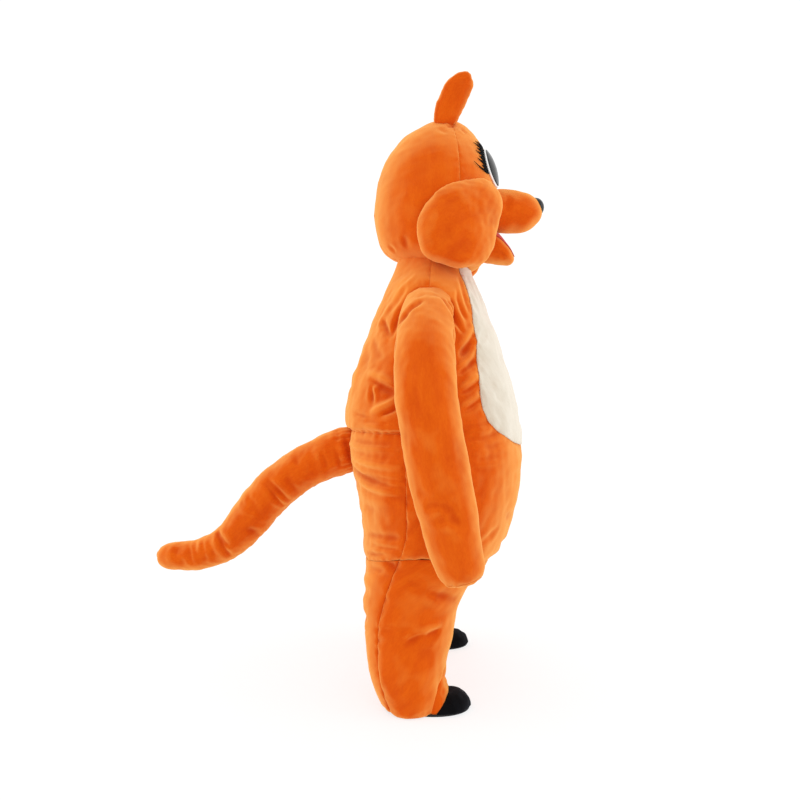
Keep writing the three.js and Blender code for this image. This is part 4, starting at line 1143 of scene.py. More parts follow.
def grid_normals(points, ring):
    """The normals of a grid, whose columns close on themselves if it is a ring."""
    if ring:
        wide = np.concatenate([points[:, -1:], points, points[:, :1]], axis=1)
        across = wide[:, 2:] - wide[:, :-2]
    else:
        across = np.gradient(points, axis=1)
    return unit(np.cross(across, np.gradient(points, axis=0)))


def outwards(grid, middle, ring=True):
    """The normals of a grid, away from its middle line."""
    normals = grid_normals(grid, ring)
    return normals * np.sign((normals * (grid - middle)).sum(-1, keepdims=True) + 1e-12)


LAID = 0.4  # how far off the plush the underside of a piece lies


def lying_on(form, angle, t, left):
    """Points just off a folded form. Limbs are worked out on the right side, so the left one takes
    the left side's folds and brings them over."""
    points, _ = form.surface(-angle if left else angle, t, LAID)
    return points * [-1, 1, 1] if left else points


def seated(grid, form, fade, left=False):
    """What moves a limb's first row onto a form as it is folded there, and fades along the limb."""
    angle, t, _ = form.place(grid[0])
    away = lengths(grid, 0)
    return (lying_on(form, angle, t, left) - grid[0])[None] * np.exp(-away / fade)[..., None]


def limb_grid(limb, form, columns, low, high, step=STEP, end=False):
    """A limb's points in rings from where it comes out of a form, which is between two rows, to its
    end. Gives their turns, how far along the limb they are, and from its root, the points of its
    smooth surface and of its middle line."""
    turns = np.linspace(0, 360, columns, endpoint=False)
    start = np.interp(comes_out(form, limb.point, turns, low, high), limb.fine, limb.run)
    share = stations(limb.run[-1] - start.mean(), step, end=end)[:, None]
    along = start + (limb.run[-1] - start) * share
    t = np.interp(along, limb.run, limb.fine)
    turn = np.repeat(turns[None], len(share), axis=0)
    return turn, along, along - start, limb.point(turn, t), limb.middle(t)


def sleeve_grid(left):
    """The sleeve's outer and inner points, what its folds add there, and its smooth points."""
    turn, along, away, smooth, middle = limb_grid(SLEEVE, TORSO, 92, 0.2, SLEEVE_ROWS, end=True)
    rows = similar(SLEEVE_CREASES, 41, turn=9) if left else SLEEVE_CREASES
    relief = sum(creases(rows, turn + whole, along, np.radians(SLEEVE_ROOT)) for whole in (0, 360))
    relief += 1.3 * waves(smooth, 6 + left, 60, 170) + 0.4 * waves(smooth, 8 + left, 22, 55)
    relief += sewn(away, smooth, depth=4.5, reach=8)
    relief += sewn(SLEEVE.run[-1] - along, smooth, depth=2.2)
    relief += sewn((turn - 92) * 1.4, smooth, depth=2.5)  # the sleeve's own seam faces the body
    normals = outwards(smooth, middle)
    outer = smooth + normals * relief[..., None] + seated(smooth, TORSO, 14, left)
    return outer, outer - normals * PLUSH, relief, smooth


def lump(name, grid, material, relief=None, mirror=False):
    """A closed body of rings of points, each end drawn together in one point."""
    rows, columns = grid.shape[:2]
    body = np.concatenate([grid[:1].mean(1), grid[1:-1].reshape(-1, 3), grid[-1:].mean(1)])
    cloth = cloth_place(grid, True)
    cloth = np.concatenate([cloth[:1].mean(1), cloth[1:-1].reshape(-1, 3), cloth[-1:].mean(1)])
    deep = hollow_of(np.zeros(grid.shape[:2]) if relief is None else relief)
    deep = np.concatenate([deep[0, :1], deep[1:-1].ravel(), deep[-1, :1]])
    ring = np.arange(columns)
    after = (ring + 1) % columns
    start = 1 + columns * np.arange(rows - 3)[:, None]
    above = start + columns
    quads = np.stack([start + ring, start + after, above + after, above + ring], -1)
    final = 1 + columns * (rows - 3)
    low = np.stack([after + 1, ring + 1, 0 * ring, 0 * ring], -1)
    top = 0 * ring + len(body) - 1
    high = np.stack([final + ring, final + after, top, top], -1)
    faces = np.concatenate([low, quads.reshape(-1, 4), high])
    return mesh_object(name, body * ([-1, 1, 1] if mirror else 1), faces, material, deep, cloth)


MITT_END_RISE = 13
MITT_END_CUT = dict(flat=(0.125, 0.105), area=0.0103)  # an oval
# the rings of the mitt's end, as shares of its edge, closer together where it rounds over
MITT_RINGS = np.array([
    0, 0.16, 0.32, 0.48, 0.62, 0.74, 0.83, 0.9, 0.95, 0.985, 1])[:, None, None]
for left, side in SIDES:
    outer, inner, relief, smooth = sleeve_grid(left)
    sleeve = cloth_wall(
        f"sleeve_plush_{side}", outer, inner, relief, ORANGE, ring=True, mirror=left)
    in_place(sleeve, "orange_plush", f"sleeve_{side}")
    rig.sheet(sleeve, held="stretched", rests_on=[f"front_panel_plush_{side}"], **cut_of(
        np.concatenate([smooth, smooth[:, :1]], axis=1)))

    edge, middle = outer[-1], outer[-1].mean(0)
    down = unit(middle - outer[-4].mean(0))
    crown = MITT_END_RISE * (1 - MITT_RINGS ** 3.2) ** 0.75
    over = middle + (edge - middle) * MITT_RINGS + down * (SEAM + crown)
    under = middle + (edge - middle) * MITT_RINGS * 0.95
    under = under + down * (SEAM + np.maximum(crown - PLUSH, 0))
    dent = 1.0 * waves(over, 14 + left, 25, 60) * np.clip((0.97 - MITT_RINGS[..., 0]) * 4, 0, 1)
    over, under = over + down * dent[..., None], under + down * dent[..., None]
    # the dip of 2.5 at the rim is painted shade along the end's seam: it darkens the colour there but doesn't shape
    # the end
    relief = dent - 2.5 * np.clip(1 - (1 - MITT_RINGS[..., 0]) * 8, 0, 1)
    end = lump(f"mitt_end_plush_{side}", np.concatenate([over, under[::-1]]), ORANGE, mirror=left,
               relief=np.concatenate([relief, relief[::-1]]))
    in_place(end, "orange_plush", f"mitt_end_{side}")
    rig.sheet(end, held="stretched", **MITT_END_CUT)

# ---- Legs ----------------------------------------------------------------------------------------
# Wide plush legs, front and back, hang from the hip seam and round in under the hem. They are only
# a little fuller than the wearer's own, and fold behind the knee and where the hip seam is
# gathered.

HEM = 2
LEG = Form("height front back centre outer inner square lift", [
    (LEG_SEAM - SEAM, 190, 222, 0.3, 321.7, 0, 2.5, 50),
    (376, 168, 219, 46, 274, 42, 2.4, 40),
    (334, 120, 212, 128, 194, 110, 2.3, 20),
    (275, 85, 208, 178, 151, 136, 2.3, 6),
    (205, 70, 202, 200, 142, 134, 2.2, 0),
    (140, 55, 195, 217, 137, 127, 2.2, 0),
    (80, 42, 179, 234, 129, 117, 2.2, 0),
    (32, 34, 158, 249, 114, 103, 2.2, 0),
    (HEM, 28, 140, 256, 101, 92, 2.2, 0),
])
LEG_CREASES = [
    (48, 243, 68, 232, 2, 7, 9),
    (66, 233, 90, 217, 3, 7, 9),
    (46, 256, 74, 246, 3, -5, 10),
    (122, 236, 98, 243, -3, 3.5, 9),
    (100, 243, 78, 241, -2, 3.5, 9),
    (96, 209, 70, 220, 2, 4, 11),
    (70, 220, 49, 230, 2, 4, 10),
    (21, 122, 15, 72, 2, 7, 10),
    (15, 76, 22, 36, 2, 6, 10),
    (150, 391, 123, 381, 2, 6, 9),
    (160, 380, 140, 372, 2, 4, 10),
    (124, 402, 112, 392, 1, 5, 8),
    (119, 396, 104, 380, 3, 4, 9),
    (101, 362, 77, 344, 3, 4, 12),
    (78, 344, 50, 325, 3, 5, 12),
    (80, 343, 34, 311, -3, 5, 12),
    (60, 372, 20, 350, 3, 5, 12),
    (80, 124, 76, 65, 3, 3, 20),
    (49, 114, 28, 27, 3, -4, 14),
    (110, 150, 104, 60, 3, 2.5, 20),
    (140, 330, 176, 318, 3, 6, 14),
    (150, 250, 190, 238, 4, 6, 14),
    (160, 214, 205, 226, 3, 5, 12),
    (-20, 250, -60, 238, 3, 6, 12),
    (-30, 330, -70, 350, 3, 6, 12),
    (200, 340, 250, 352, 3, 6, 13),
    (210, 120, 250, 110, 3, 4, 12),
]
HEM_LINE = 16  # the hem's stitching, above its edge


def leg_relief(rows, angle, t, points):
    height, girth = LEG.row(t)["height"], LEG.girth(t)
    total = creases(rows, angle, height, LEG.girth_at) + slack(points)
    total += sewn((angle - side_seam(height)) * girth, points)
    total += sewn((np.minimum(angle + 90, 270 - angle)) * girth, points, depth=2.6)
    total += sewn(height - LEG_SEAM, points, depth=3.2)
    total += sewn(height - HEM - HEM_LINE, points, depth=1.4, reach=4)
    return total - 3.5 * np.exp(-(height - HEM) / 6)


def fold_leg(left):
    """Gives the form of the legs the folds of one leg. The left leg is made as a right one is, and
    is mirrored."""
    rows = similar(LEG_CREASES, 51) if left else LEG_CREASES
    LEG.relief = lambda angle, t, points: leg_relief(rows, angle, t, points)


# The foot is a row of arches over the sole. near is where an arch stands on the sole, and height
# where it crosses the top of the foot, both along the foot.
SOLE = 6
FOOT_X = -259
FOOT = Form("height near half tall", [
    (20, 40, 66, 120),
    (-32, 10, 70, 104),
    (-50, -10, 73, 72),
    (-60, -24, 74, 47),
    (-78, -52, 71, 45),
    (-94, -80, 63, 40),
    (-108, -100, 50, 32),
    (-118, -114, 32, 21),
    (-124, -122, 12, 8),
    (-125.5, -125, 0.8, 0.6),
])
TOE_SEAM = 3  # the row where the orange instep meets the black toe cap
SOLE_OUTLINE = dict(half=78, toe=121, heel=122)


def foot_point(turn, t, shrink=0):
    """A point of an arch at a turn, from its foot at 0 over its crown at 90, and at t."""
    row = FOOT.row(t)
    s, c = np.sin(np.radians(turn)), np.cos(np.radians(turn))
    return np.stack([
        FOOT_X + np.maximum(row["half"] - shrink, 0.3) * c,
        row["near"] + (row["height"] - row["near"]) * s,
        SOLE + SEAM + np.maximum(row["tall"] - shrink, 0.3) * s], -1)


def in_foot(points):
    """Whether points of the leg lie in the foot, which opens the leg's front a little narrower than
    the foot is, or on the sole."""
    inside = np.zeros(points.shape[:-1], bool)
    x, y, z = points[..., 0] - FOOT_X, points[..., 1], points[..., 2] - SOLE - SEAM
    for t in np.linspace(0, 6, 40):
        row = FOOT.row(np.array(t))
        c, s = x / (row["half"] - 5), z / (row["tall"] - 5)
        arch = row["near"] + (row["height"] - row["near"]) * np.clip(s, 0, 1)
        inside |= (np.hypot(c, s) < 1) & (z > 0) & (np.abs(y - arch) < 4)
    ahead = np.where(y < 0, SOLE_OUTLINE["toe"], SOLE_OUTLINE["heel"])
    on_sole = np.hypot(x / (SOLE_OUTLINE["half"] + 1), y / (ahead + 1)) < 1
    return inside | (on_sole & (z < 1.5))


def make_leg(left, side):
    """The front and the back of one leg."""
    for name, start, end in (("leg_front", straight(-90), side_seam),
                             ("leg_back", side_seam, straight(270))):
        angle, t = form_grid(LEG, LEG_SEAM - SEAM, HEM, start, end)
        plush_panel(LEG, angle, t, f"{name}_plush_{side}", f"{name}_{side}", in_foot, mirror=left)


# ---- Feet ----------------------------------------------------------------------------------------
# The foot cover is an orange instep and a black plush toe cap, sewn together and to a flat sole,
# which is cut from sheet rubber with its edge trimmed square and worn round.

# 030303 is painted shade in a crease, #101013 a painted highlight on a ridge, and #1c1c20 a painted sheen where the
# plush turns edge-on to the view
BLACK = plush_material(
    "black_short_pile_plush", "#060607", "#09090b", "#0e0e11", "#030303", "#101013", "#1c1c20",
    0.1, "#8890a0")
# matt, with a fine cloth-pressed grain about 1.5 mm across, and scuffed paler here and there
RUBBER = small_material(
    "black_sheet_rubber", "#0b0b0c", "#1a1a1a", ("Noise", {"Scale": 30, "Detail": 5}),
    {"Roughness": 0.75}, raised=(0.4, 0.0004), grain=("Voronoi", {"Scale": 650}))
TOE_GAP = 0.02  # half of the gap between the instep and the toe cap, in rows
ARCH, INSTEP, TOE = 240, 60, 150  # the length over an arch, and along the instep and the toe cap
FOOT_TURNS = stations(ARCH, 4.5) * 180
# shares of the sole's outline and heights, from the middle of its underside up to its top
SOLE_PROFILE = [
    (0, 0), (0.9, 0), (0.985, 0), (0.995, 0.4), (1, 1.2),
    (1, SOLE - 1.2), (0.995, SOLE - 0.4), (0.985, SOLE), (0.9, SOLE), (0, SOLE),
]


def make_foot(left, side):
    """The instep, the toe cap and the sole of one foot."""
    root = comes_out(LEG, foot_point, FOOT_TURNS, 0, TOE_SEAM)
    share = stations(INSTEP, 4.5)[:, None]
    t = root + (TOE_SEAM - TOE_GAP - root) * share
    turn = np.repeat(FOOT_TURNS[None], len(share), axis=0)
    smooth = foot_point(turn, t)
    normals = outwards(smooth, np.array([FOOT_X, 0.0, 0.0]), ring=False)
    away = lengths(smooth, 0)
    relief = 0.8 * waves(smooth, 21, 18, 50) - 2.5 * np.exp(-away / 5)
    relief += -2.2 * np.exp(-np.abs(away - away[-1]) / 4)
    outer = smooth + normals * relief[..., None] + seated(smooth, LEG, 8)
    instep = cloth_wall(
        f"instep_plush_{side}", outer, outer - normals * PLUSH, relief, ORANGE, mirror=left)
    in_place(instep, "orange_plush", f"instep_{side}")
    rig.sheet(instep, held="stretched", rests_on=[f"leg_front_plush_{side}"], **cut_of(smooth))

    first = TOE_SEAM + TOE_GAP
    t = first + (FOOT.last - TOE_SEAM - TOE_GAP) * stations(TOE, 4, end=False)[:, None]
    turn, t = np.repeat(FOOT_TURNS[None], len(t), axis=0), t + 0 * FOOT_TURNS
    smooth = foot_point(turn, t)
    normals = outwards(smooth, np.array([FOOT_X, -30.0, 0.0]), ring=False)
    relief = 0.9 * waves(smooth, 23, 20, 60) - 2.2 * np.exp(-lengths(smooth, 0) / 4)
    fade = np.clip((FOOT.last - t) / 1.5, 0, 1)
    outer = smooth + normals * (relief * fade)[..., None]
    inner = foot_point(turn, t, PLUSH) + normals * (relief * fade)[..., None]
    inner[..., 1] += PLUSH * (1 - fade)
    toe = cloth_wall(f"toe_plush_{side}", outer, inner, relief, BLACK, mirror=left)
    in_place(toe, "black_felt", f"toe_cap_{side}")
    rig.sheet(toe, held="stretched", rests_on=[f"sole_rubber_{side}"], **cut_of(smooth))

    around = np.linspace(0, 2 * np.pi, 96, endpoint=False)
    ahead = np.where(np.sin(around) < 0, SOLE_OUTLINE["toe"], SOLE_OUTLINE["heel"])
    slab = np.array([
        np.stack([FOOT_X + SOLE_OUTLINE["half"] * share * np.cos(around),
                  ahead * share * np.sin(around), np.full(around.shape, rise)], -1)
        for share, rise in SOLE_PROFILE])
    sole = lump(f"sole_rubber_{side}", slab, RUBBER, mirror=left)
    in_place(sole, "black_sole", f"sole_{side}")


for left, side in SIDES:
    fold_leg(left)
    make_leg(left, side)
    make_foot(left, side)

# ---- Tail ----------------------------------------------------------------------------------------
# A long stuffed tube, gathered by hand where it is sewn to the seat. Its stuffing has settled, so
# the plush creases across its bends, deepest where it turns down and under.

TAIL_CREASES = [
    (231, 54, 144, 48, 4, 7, 9),
    (201, 89, 141, 94, 4, 6, 9),
    (201, 108, 153, 112, 3, 5, 9),
    (255, 76, 205, 70, 3, 5, 10),
    (201, 131, 150, 140, 4, 5, 10),
    (210, 176, 150, 176, 3, 3, 12),
    (236, 232, 190, 224, 3, 3, 12),
    (190, 280, 120, 286, 3, 3, 12),
    (216, 338, 118, 329, 5, 8, 10),
    (216, 350, 116, 360, 4, 8, 9),
    (225, 420, 150, 442, 5, 4, 12),
    (225, 446, 172, 450, 3, 4, 11),
    (160, 500, 100, 510, 3, 4, 12),
    (236, 597, 152, 592, 4, 8, 10),
    (238, 606, 118, 616, 4, 8, 9),
    (226, 655, 134, 656, 4, 4, 12),
    (238, 679, 134, 689, 4, 5, 11),
    (256, 717, 134, 702, 4, 5, 11),
    (238, 739, 150, 728, 3, 5, 11),
    (232, 794, 172, 795, 4, 4, 13),
    (200, 880, 140, 884, 3, 3, 12),
    (340, 60, 290, 54, 4, 6, 10),
    (70, 96, 10, 90, 4, 6, 10),
    (350, 344, 300, 336, 4, 6, 10),
    (60, 350, 20, 356, 3, 5, 11),
    (330, 604, 280, 598, 4, 6, 10),
    (350, 700, 300, 712, 4, 5, 11),
    (50, 640, 0, 628, 4, 4, 12),
]
TAIL_RADIUS = 72  # on average


def back_on(form, ring, layers, left=False):
    """Rows from the middle of a ring that lies on a form out to the ring, on the folded form."""
    angle, t, _ = form.place(ring)
    angle = np.degrees(np.unwrap(np.radians(angle)))
    share = np.linspace(0, 1, layers, endpoint=False)[:, None]
    angle, t = angle.mean() + (angle - angle.mean()) * share, t.mean() + (t - t.mean()) * share
    return lying_on(form, angle, t, left)


def stuffed(name, grids, reliefs, mirror=False):
    """A stuffed piece of orange plush, of grids one after another. None is a flat one's relief."""
    reliefs = [
        np.zeros(grid.shape[:2]) if relief is None else relief
        for grid, relief in zip(grids, reliefs)]
    return lump(name, np.concatenate(grids), ORANGE, np.concatenate(reliefs), mirror)


turn, along, away, smooth, middle = limb_grid(TAIL, TORSO, 84, 0, TAIL_ROWS)
relief = creases(TAIL_CREASES, turn, along, np.radians(TAIL_RADIUS))
relief += 1.5 * waves(smooth, 61, 50, 150) + 0.5 * waves(smooth, 62, 20, 50)
relief += 2.6 * gathers(turn, 21, 1.7, 3) * np.exp(-away / 34) - 6 * np.exp(-away / 9)
relief += sewn((turn - 90) * 1.25, smooth, depth=2.2, reach=5)  # its seam runs along the underside
relief *= np.clip((TAIL.run[-1] - along) / 60, 0.15, 1)
body = smooth + outwards(smooth, middle) * relief[..., None] + seated(smooth, TORSO, 12)
ahead = unit(middle[-1].mean(0) - middle[-3].mean(0))
end = body[-1].mean(0)
tip = np.array([
    end + (body[-1] - end) * share + ahead * 7 * math.sqrt(1 - share * share)
    for share in (0.9, 0.7, 0.4, 0)])
tail = stuffed("tail_plush", [back_on(TORSO, body[0], 12), body, tip], [None, relief, None])
in_place(tail, "orange_plush", "tail")
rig.padded(tail, fill=0.85)
ORANGE_THREAD = thread_material("orange_polyester_thread", "#8e3208", "#bb4b12")
ring = body[2] + 0.8 * unit(body[2] - body[2].mean(0))
set_along("tail_hand_stitching", STITCHES, ring, unit(ring - ring.mean(0) + [0, 60, 0]),
          "orange_plush", ring=True, Material=ORANGE_THREAD, Spacing=0.011, Length=0.011,
          Thickness=0.0006, Slant=1.2, Unevenness=0.25)

# ---- Back zip ------------------------------------------------------------------------------------
# A zip lies hidden in the middle of the back, behind the seam: two woven tapes, edge to edge, with
# a spiral of nylon wire as its teeth.

TAPE_GAP = 1.4  # behind the plush
TAPE_THICK = 1.2
COIL_OFF = 1.3  # the middle of the wire, off the tape
across = np.linspace(177, 183, 13)
up = TORSO.at(np.linspace(WAIST_SEAM + 4, NECK - 10, 120))
angle, t = np.meshgrid(across, up)
normal = TORSO.normal(angle, t)
relief = TORSO.surface(angle, t)[1]
base = TORSO.smooth(angle, t) + normal * relief.mean(1, keepdims=True)[..., None]
# a twill of 1 mm ribs, drawn a little coarser than it is
ZIP_TAPE = small_material(
    "woven_polyester_zip_tape", "#b8470e", "#d65c18",
    ("Wave", {"Scale": 300, "Distortion": 0.6}, ("bands_direction", "DIAGONAL")),
    {"Roughness": 0.8}, raised=(0.5, 0.0004), on_cloth=True)
face = base - normal * (PLUSH + TAPE_GAP)
tape = cloth_wall("zip_tape_woven", face, face - normal * TAPE_THICK, 0 * relief, ZIP_TAPE)
in_place(tape, "zip_tape", "back_zip")
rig.sheet(tape, held="stretched", **cut_of(TORSO.smooth(angle, t)))


def coil_shape(tree, given):
    """One turn of the wire, which hooks into the turn beside it."""
    loop = node(tree, "GeometryNodeCurvePrimitiveCircle", {"Resolution": 10, "Radius": 1.0})
    wire = node(tree, "GeometryNodeCurvePrimitiveCircle", {"Resolution": 5, "Radius": 0.2})
    turn = node(tree, "GeometryNodeCurveToMesh", {
        "Curve": loop.outputs[0], "Profile Curve": wire.outputs[0]})
    leant = node(tree, "GeometryNodeTransform", {
        "Geometry": turn.outputs[0], "Rotation": (0, math.radians(78), 0)})
    size = node(tree, "ShaderNodeCombineXYZ", {
        "X": given["Height"], "Y": given["Width"], "Z": given["Height"]})
    return leant.outputs[0], size.outputs[0]


# drawn nylon wire is smooth and half glossy, and dulled a little by wear
NYLON = small_material(
    "orange_nylon_zip_wire", "#a8400c", "#d2641e", ("Noise", {"Scale": 90, "Detail": 3}),
    {"Roughness": 0.35})
COIL = path_tree("zip_coil", ["Width", "Height"], coil_shape)
middle = len(across) // 2
wire = (face - normal * (TAPE_THICK + COIL_OFF))[1:-1, middle]
set_along("zip_coil_nylon", COIL, wire, -normal[1:-1, middle], "zip_tape",
          Material=NYLON, Spacing=0.0016, Width=0.0026, Height=0.0011)

# ---- Head ----------------------------------------------------------------------------------------
# The head is built from foam sheet with plush glued over it, so it is smooth and round. The face
# and the two halves of the back meet in seams that run down from the ears. The head stands on the
# suit's neck edge, and is turned there a little to the wearer's left.

FOAM = 10.0  # plush over the foam sheet
CROWN = 1866.4
SKULL = Form("height front back half rise square", [
    (NECK + SEAM, 124, 120, 122, 20, 2),
    (1400, 162, 149, 163, 16, 2),
    (1436, 193, 176, 193, 10, 2),
    (1500, 213, 193, 213, 3, 2.1),
    (1575, 221, 198, 221, 0, 2.1),
    (1650, 213, 190, 215, 0, 2.1),
    (1720, 193, 164, 195, 0, 2.1),
    (1781, 162, 123, 159, 0, 2),
    (1825, 131, 76, 115, 0, 2),
    (1852, 101, 24, 69, 0, 2),
    (1862, 75, -9, 37, 0, 2),
    (1865.6, 50, -31, 12, 0, 2),
    (CROWN, 41, -39, 1, 0, 2),
], turn=-1)
HEAD_TURN = math.radians(7)
NECK_SLOPE = 2 * 20 / (124 + 120)  # the neck's edge rises 20 mm to the back and sinks as much ahead
NECK_MIDDLE = Matrix.Translation(to_metres(np.array([0, -2, NECK])))
NECK_TURN = Matrix.Rotation(HEAD_TURN, 4, (0, -NECK_SLOPE, 1))
HEAD_POSE = NECK_MIDDLE @ NECK_TURN @ NECK_MIDDLE.inverted()


def on_head(piece, slot, *nodes):
    """The piece is turned with the head, and put in place."""
    piece.data.transform(HEAD_POSE)
    return in_place(piece, slot, *nodes)


FACE_SEAM = 74
EYE = dict(angle=25.5, height=1688, across=15, up=64)  # half an eye's width is in degrees
HEAD_CREASES = [
    (84, 1400, 90, 1440, 3, 4, 10),
    (104, 1398, 108, 1432, 3, 4, 9),
    (130, 1402, 128, 1448, 3, 3, 11),
    (150, 1398, 154, 1428, 3, 4, 10),
    (86, 1806, 70, 1826, 3, 4, 8),
    (96, 1798, 84, 1770, 3, 3, 9),
    (60, 1812, 54, 1786, 3, 3, 9),
]
LEFT_HEAD_CREASES = similar(HEAD_CREASES, 71)


def skull_relief(angle, t, points):
    height, girth = SKULL.row(t)["height"], SKULL.girth(t)
    wrapped = np.abs((angle + 180) % 360 - 180)
    right = np.sin(np.radians(angle)) >= 0
    total = both_sides(SKULL, HEAD_CREASES, LEFT_HEAD_CREASES, right, angle, height)
    total += 1.3 * waves(points, 3, 80, 220) + 0.3 * waves(points, 4, 22, 55)
    total += sewn((wrapped - FACE_SEAM) * girth, points, depth=2.0, reach=5)
    total += sewn((180 - wrapped) * girth, points, depth=2.0, reach=5)
    total -= 1.5 * np.exp(-np.maximum(height - NECK, 0) / 8)
    # the plush is stretched flat under the eye, and pressed in along its edge
    eye = np.hypot((wrapped - EYE["angle"]) / EYE["across"], (height - EYE["height"]) / EYE["up"])
    total = total * np.clip((eye - 0.9) / 0.35, 0, 1) - 1.2 * np.exp(-(((eye - 1.02) / 0.045) ** 2))
    return total * np.clip((1865 - height) / 30, 0, 1)  # the crown is smooth


SKULL.relief = skull_relief
HEAD_SINKS = 3.6  # the head's weight presses its lower edge down on the suit's neck edge
for name, node_name, start, end in (
        ("face_plush", "face", -FACE_SEAM, FACE_SEAM),
        ("head_back_plush_right", "head_back_right", FACE_SEAM, 180),
        ("head_back_plush_left", "head_back_left", -180, -FACE_SEAM)):
    angle, t = form_grid(SKULL, NECK + SEAM, CROWN, straight(start), straight(end))
    outer, relief = SKULL.surface(angle, t)
    inner = outer - SKULL.normal(angle, t) * FOAM
    sunk = HEAD_SINKS * np.exp(-np.maximum(SKULL.row(t)["height"] - NECK, 0) / 5)
    for wall in (outer, inner):
        wall[..., 2] -= sunk
    piece = cloth_wall(name, outer, inner, relief, ORANGE)
    on_head(piece, "orange_plush", node_name)
    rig.padded(piece, fill=0.95)

# ---- Cheeks --------------------------------------------------------------------------------------
# Two round stuffed pads are sewn to the head beside the muzzle. The plush puckers along the seam,
# where it is eased in by hand.

CHEEK_TURN = 22
CHEEK = Form("height x y wide thick", [
    (1345.6, -190, -68, 9, 6),
    (1348, -189, -68, 36, 22),
    (1356, -188, -68, 68, 42),
    (1376, -186, -63, 104, 57),
    (1412, -183, -62, 128, 68),
    (1464, -181, -64, 138, 73),
    (1515, -180, -76, 137, 71),
    (1563, -177, -93, 123, 62),
    (1601, -173, -108, 92, 46),
    (1624, -168, -114, 58, 28),
    (1632, -165, -115, 30, 14),
    (1634.4, -164, -115, 8, 5),
], turn=-1)
CHEEK_MIDDLE = 1488
CHEEK_CENTRE = np.array([-155.0, -62, CHEEK_MIDDLE])


def cheek_point(spoke, fall):
    """A cheek's point on a spoke, in degrees from the front round over the top, at a fall from its
    crown, 0, over its rim, 90, to its back, 180."""
    reach = np.sin(np.radians(fall)) * 0.99999
    up, ahead = reach * np.sin(np.radians(spoke)), reach * np.cos(np.radians(spoke))
    above, below = CHEEK.heights[-1] - CHEEK_MIDDLE, CHEEK_MIDDLE - CHEEK.heights[0]
    height = CHEEK_MIDDLE + np.where(up > 0, above, below) * up
    row = CHEEK.row(CHEEK.at(height))
    along = ahead / np.sqrt(np.maximum(1 - up * up, 1e-9))
    out = np.sqrt(np.maximum(1 - along * along, 0)) * np.sign(90 - fall)
    x, y = -row["thick"] * out, -row["wide"] * along
    c, s = math.cos(math.radians(CHEEK_TURN)), math.sin(math.radians(CHEEK_TURN))
    return np.stack([row["x"] + c * x - s * y, row["y"] + s * x + c * y, height], -1)


for left, side in SIDES:
    spokes = np.linspace(0, 360, 130, endpoint=False)
    # the fall at which the cheek goes into the head
    rim = crossing(lambda fall: SKULL.place(cheek_point(spokes, fall))[2] > 1, spokes, 20, 179)[0]
    share = stations(190, 5.2, start=False)[:, None]
    spoke = np.repeat(spokes[None], len(share), axis=0)
    smooth = cheek_point(spoke, rim * share)
    away = lengths(smooth, 0)
    to_seam = away[-1] - away
    relief = 1.8 * waves(smooth, 73 + left, 60, 150) + 0.5 * waves(smooth, 75 + left, 20, 50)
    eased = 1.1 * gathers(spoke, 44, 2, 5, left) * np.exp(-to_seam / 11)
    relief += eased - 7 * np.exp(-to_seam / 8)
    relief *= np.clip(away / 12, 0.2, 1)
    body = smooth + outwards(smooth, CHEEK_CENTRE) * relief[..., None]
    body = body + seated(smooth[::-1], SKULL, 8, left)[::-1]
    back = back_on(SKULL, body[-1], 14, left)[::-1]
    cheek = stuffed(f"cheek_plush_{side}", [body, back], [relief, None], mirror=left)
    on_head(cheek, "orange_plush", f"cheek_{side}")
    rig.padded(cheek, fill=0.85)

# ---- Ears ----------------------------------------------------------------------------------------
# Lightly stuffed ears of two pieces of plush, seamed round the edge and pinched where they are sewn
# to the head.

EAR = Limb("x y height wide thick", [
    (-92, -25, 1808, 33, 16),
    (-105, -32, 1837, 39, 21),
    (-129, -45, 1874, 45, 23),
    (-163, -64, 1908, 44, 21),
    (-186, -83, 1929, 35, 17),
    (-198, -94, 1936, 23, 12),
    (-202, -100, 1939, 10, 6),
    (-203, -102, 1940.5, 1, 1),
], across=(0, 1, 0))
EAR_CREASES = [
    (236, 14, 262, 52, 2, 5, 5),
    (254, 12, 286, 44, 2, 5, 5),
    (216, 16, 236, 60, 2, 4, 5),
    (204, 12, 214, 40, 2, 3, 6),
    (296, 18, 306, 42, 2, 3, 6),
    (270, 90, 262, 150, 3, 2, 16),
]
EAR_DEGREE = 0.6  # millimetres in a degree round the ear
for left, side in SIDES:
    turn, along, away, smooth, middle = limb_grid(EAR, SKULL, 60, 0, 3, step=4.2)
    relief = creases(EAR_CREASES, turn, away, EAR_DEGREE) + 1.0 * waves(smooth, 81 + left, 30, 90)
    relief += 0.9 * gathers(turn, 13) * np.exp(-away / 9) - 3.5 * np.exp(-away / 6)
    for edge in (0, 180, 360):
        relief += sewn((turn - edge) * 0.5, smooth, depth=1.2, reach=3)
    relief *= np.clip((EAR.run[-1] - along) / 25, 0.1, 1)
    body = smooth + outwards(smooth, middle) * relief[..., None] + seated(smooth, SKULL, 8, left)
    tip = np.repeat(body[-1].mean(0)[None, None], turn.shape[1], axis=1)
    ear = stuffed(f"ear_plush_{side}", [back_on(SKULL, body[0], 5, left), body, tip],
                  [None, relief, None], mirror=left)
    on_head(ear, "orange_plush", f"ear_{side}")
    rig.padded(ear, fill=0.6)

# ---- Snout, jaw and mouth ------------------------------------------------------------------------
# The muzzle is a stuffed snout over a stuffed lower jaw, both sewn to the face, with the mouth a
# little open. The jaw's top is faced with red felt.

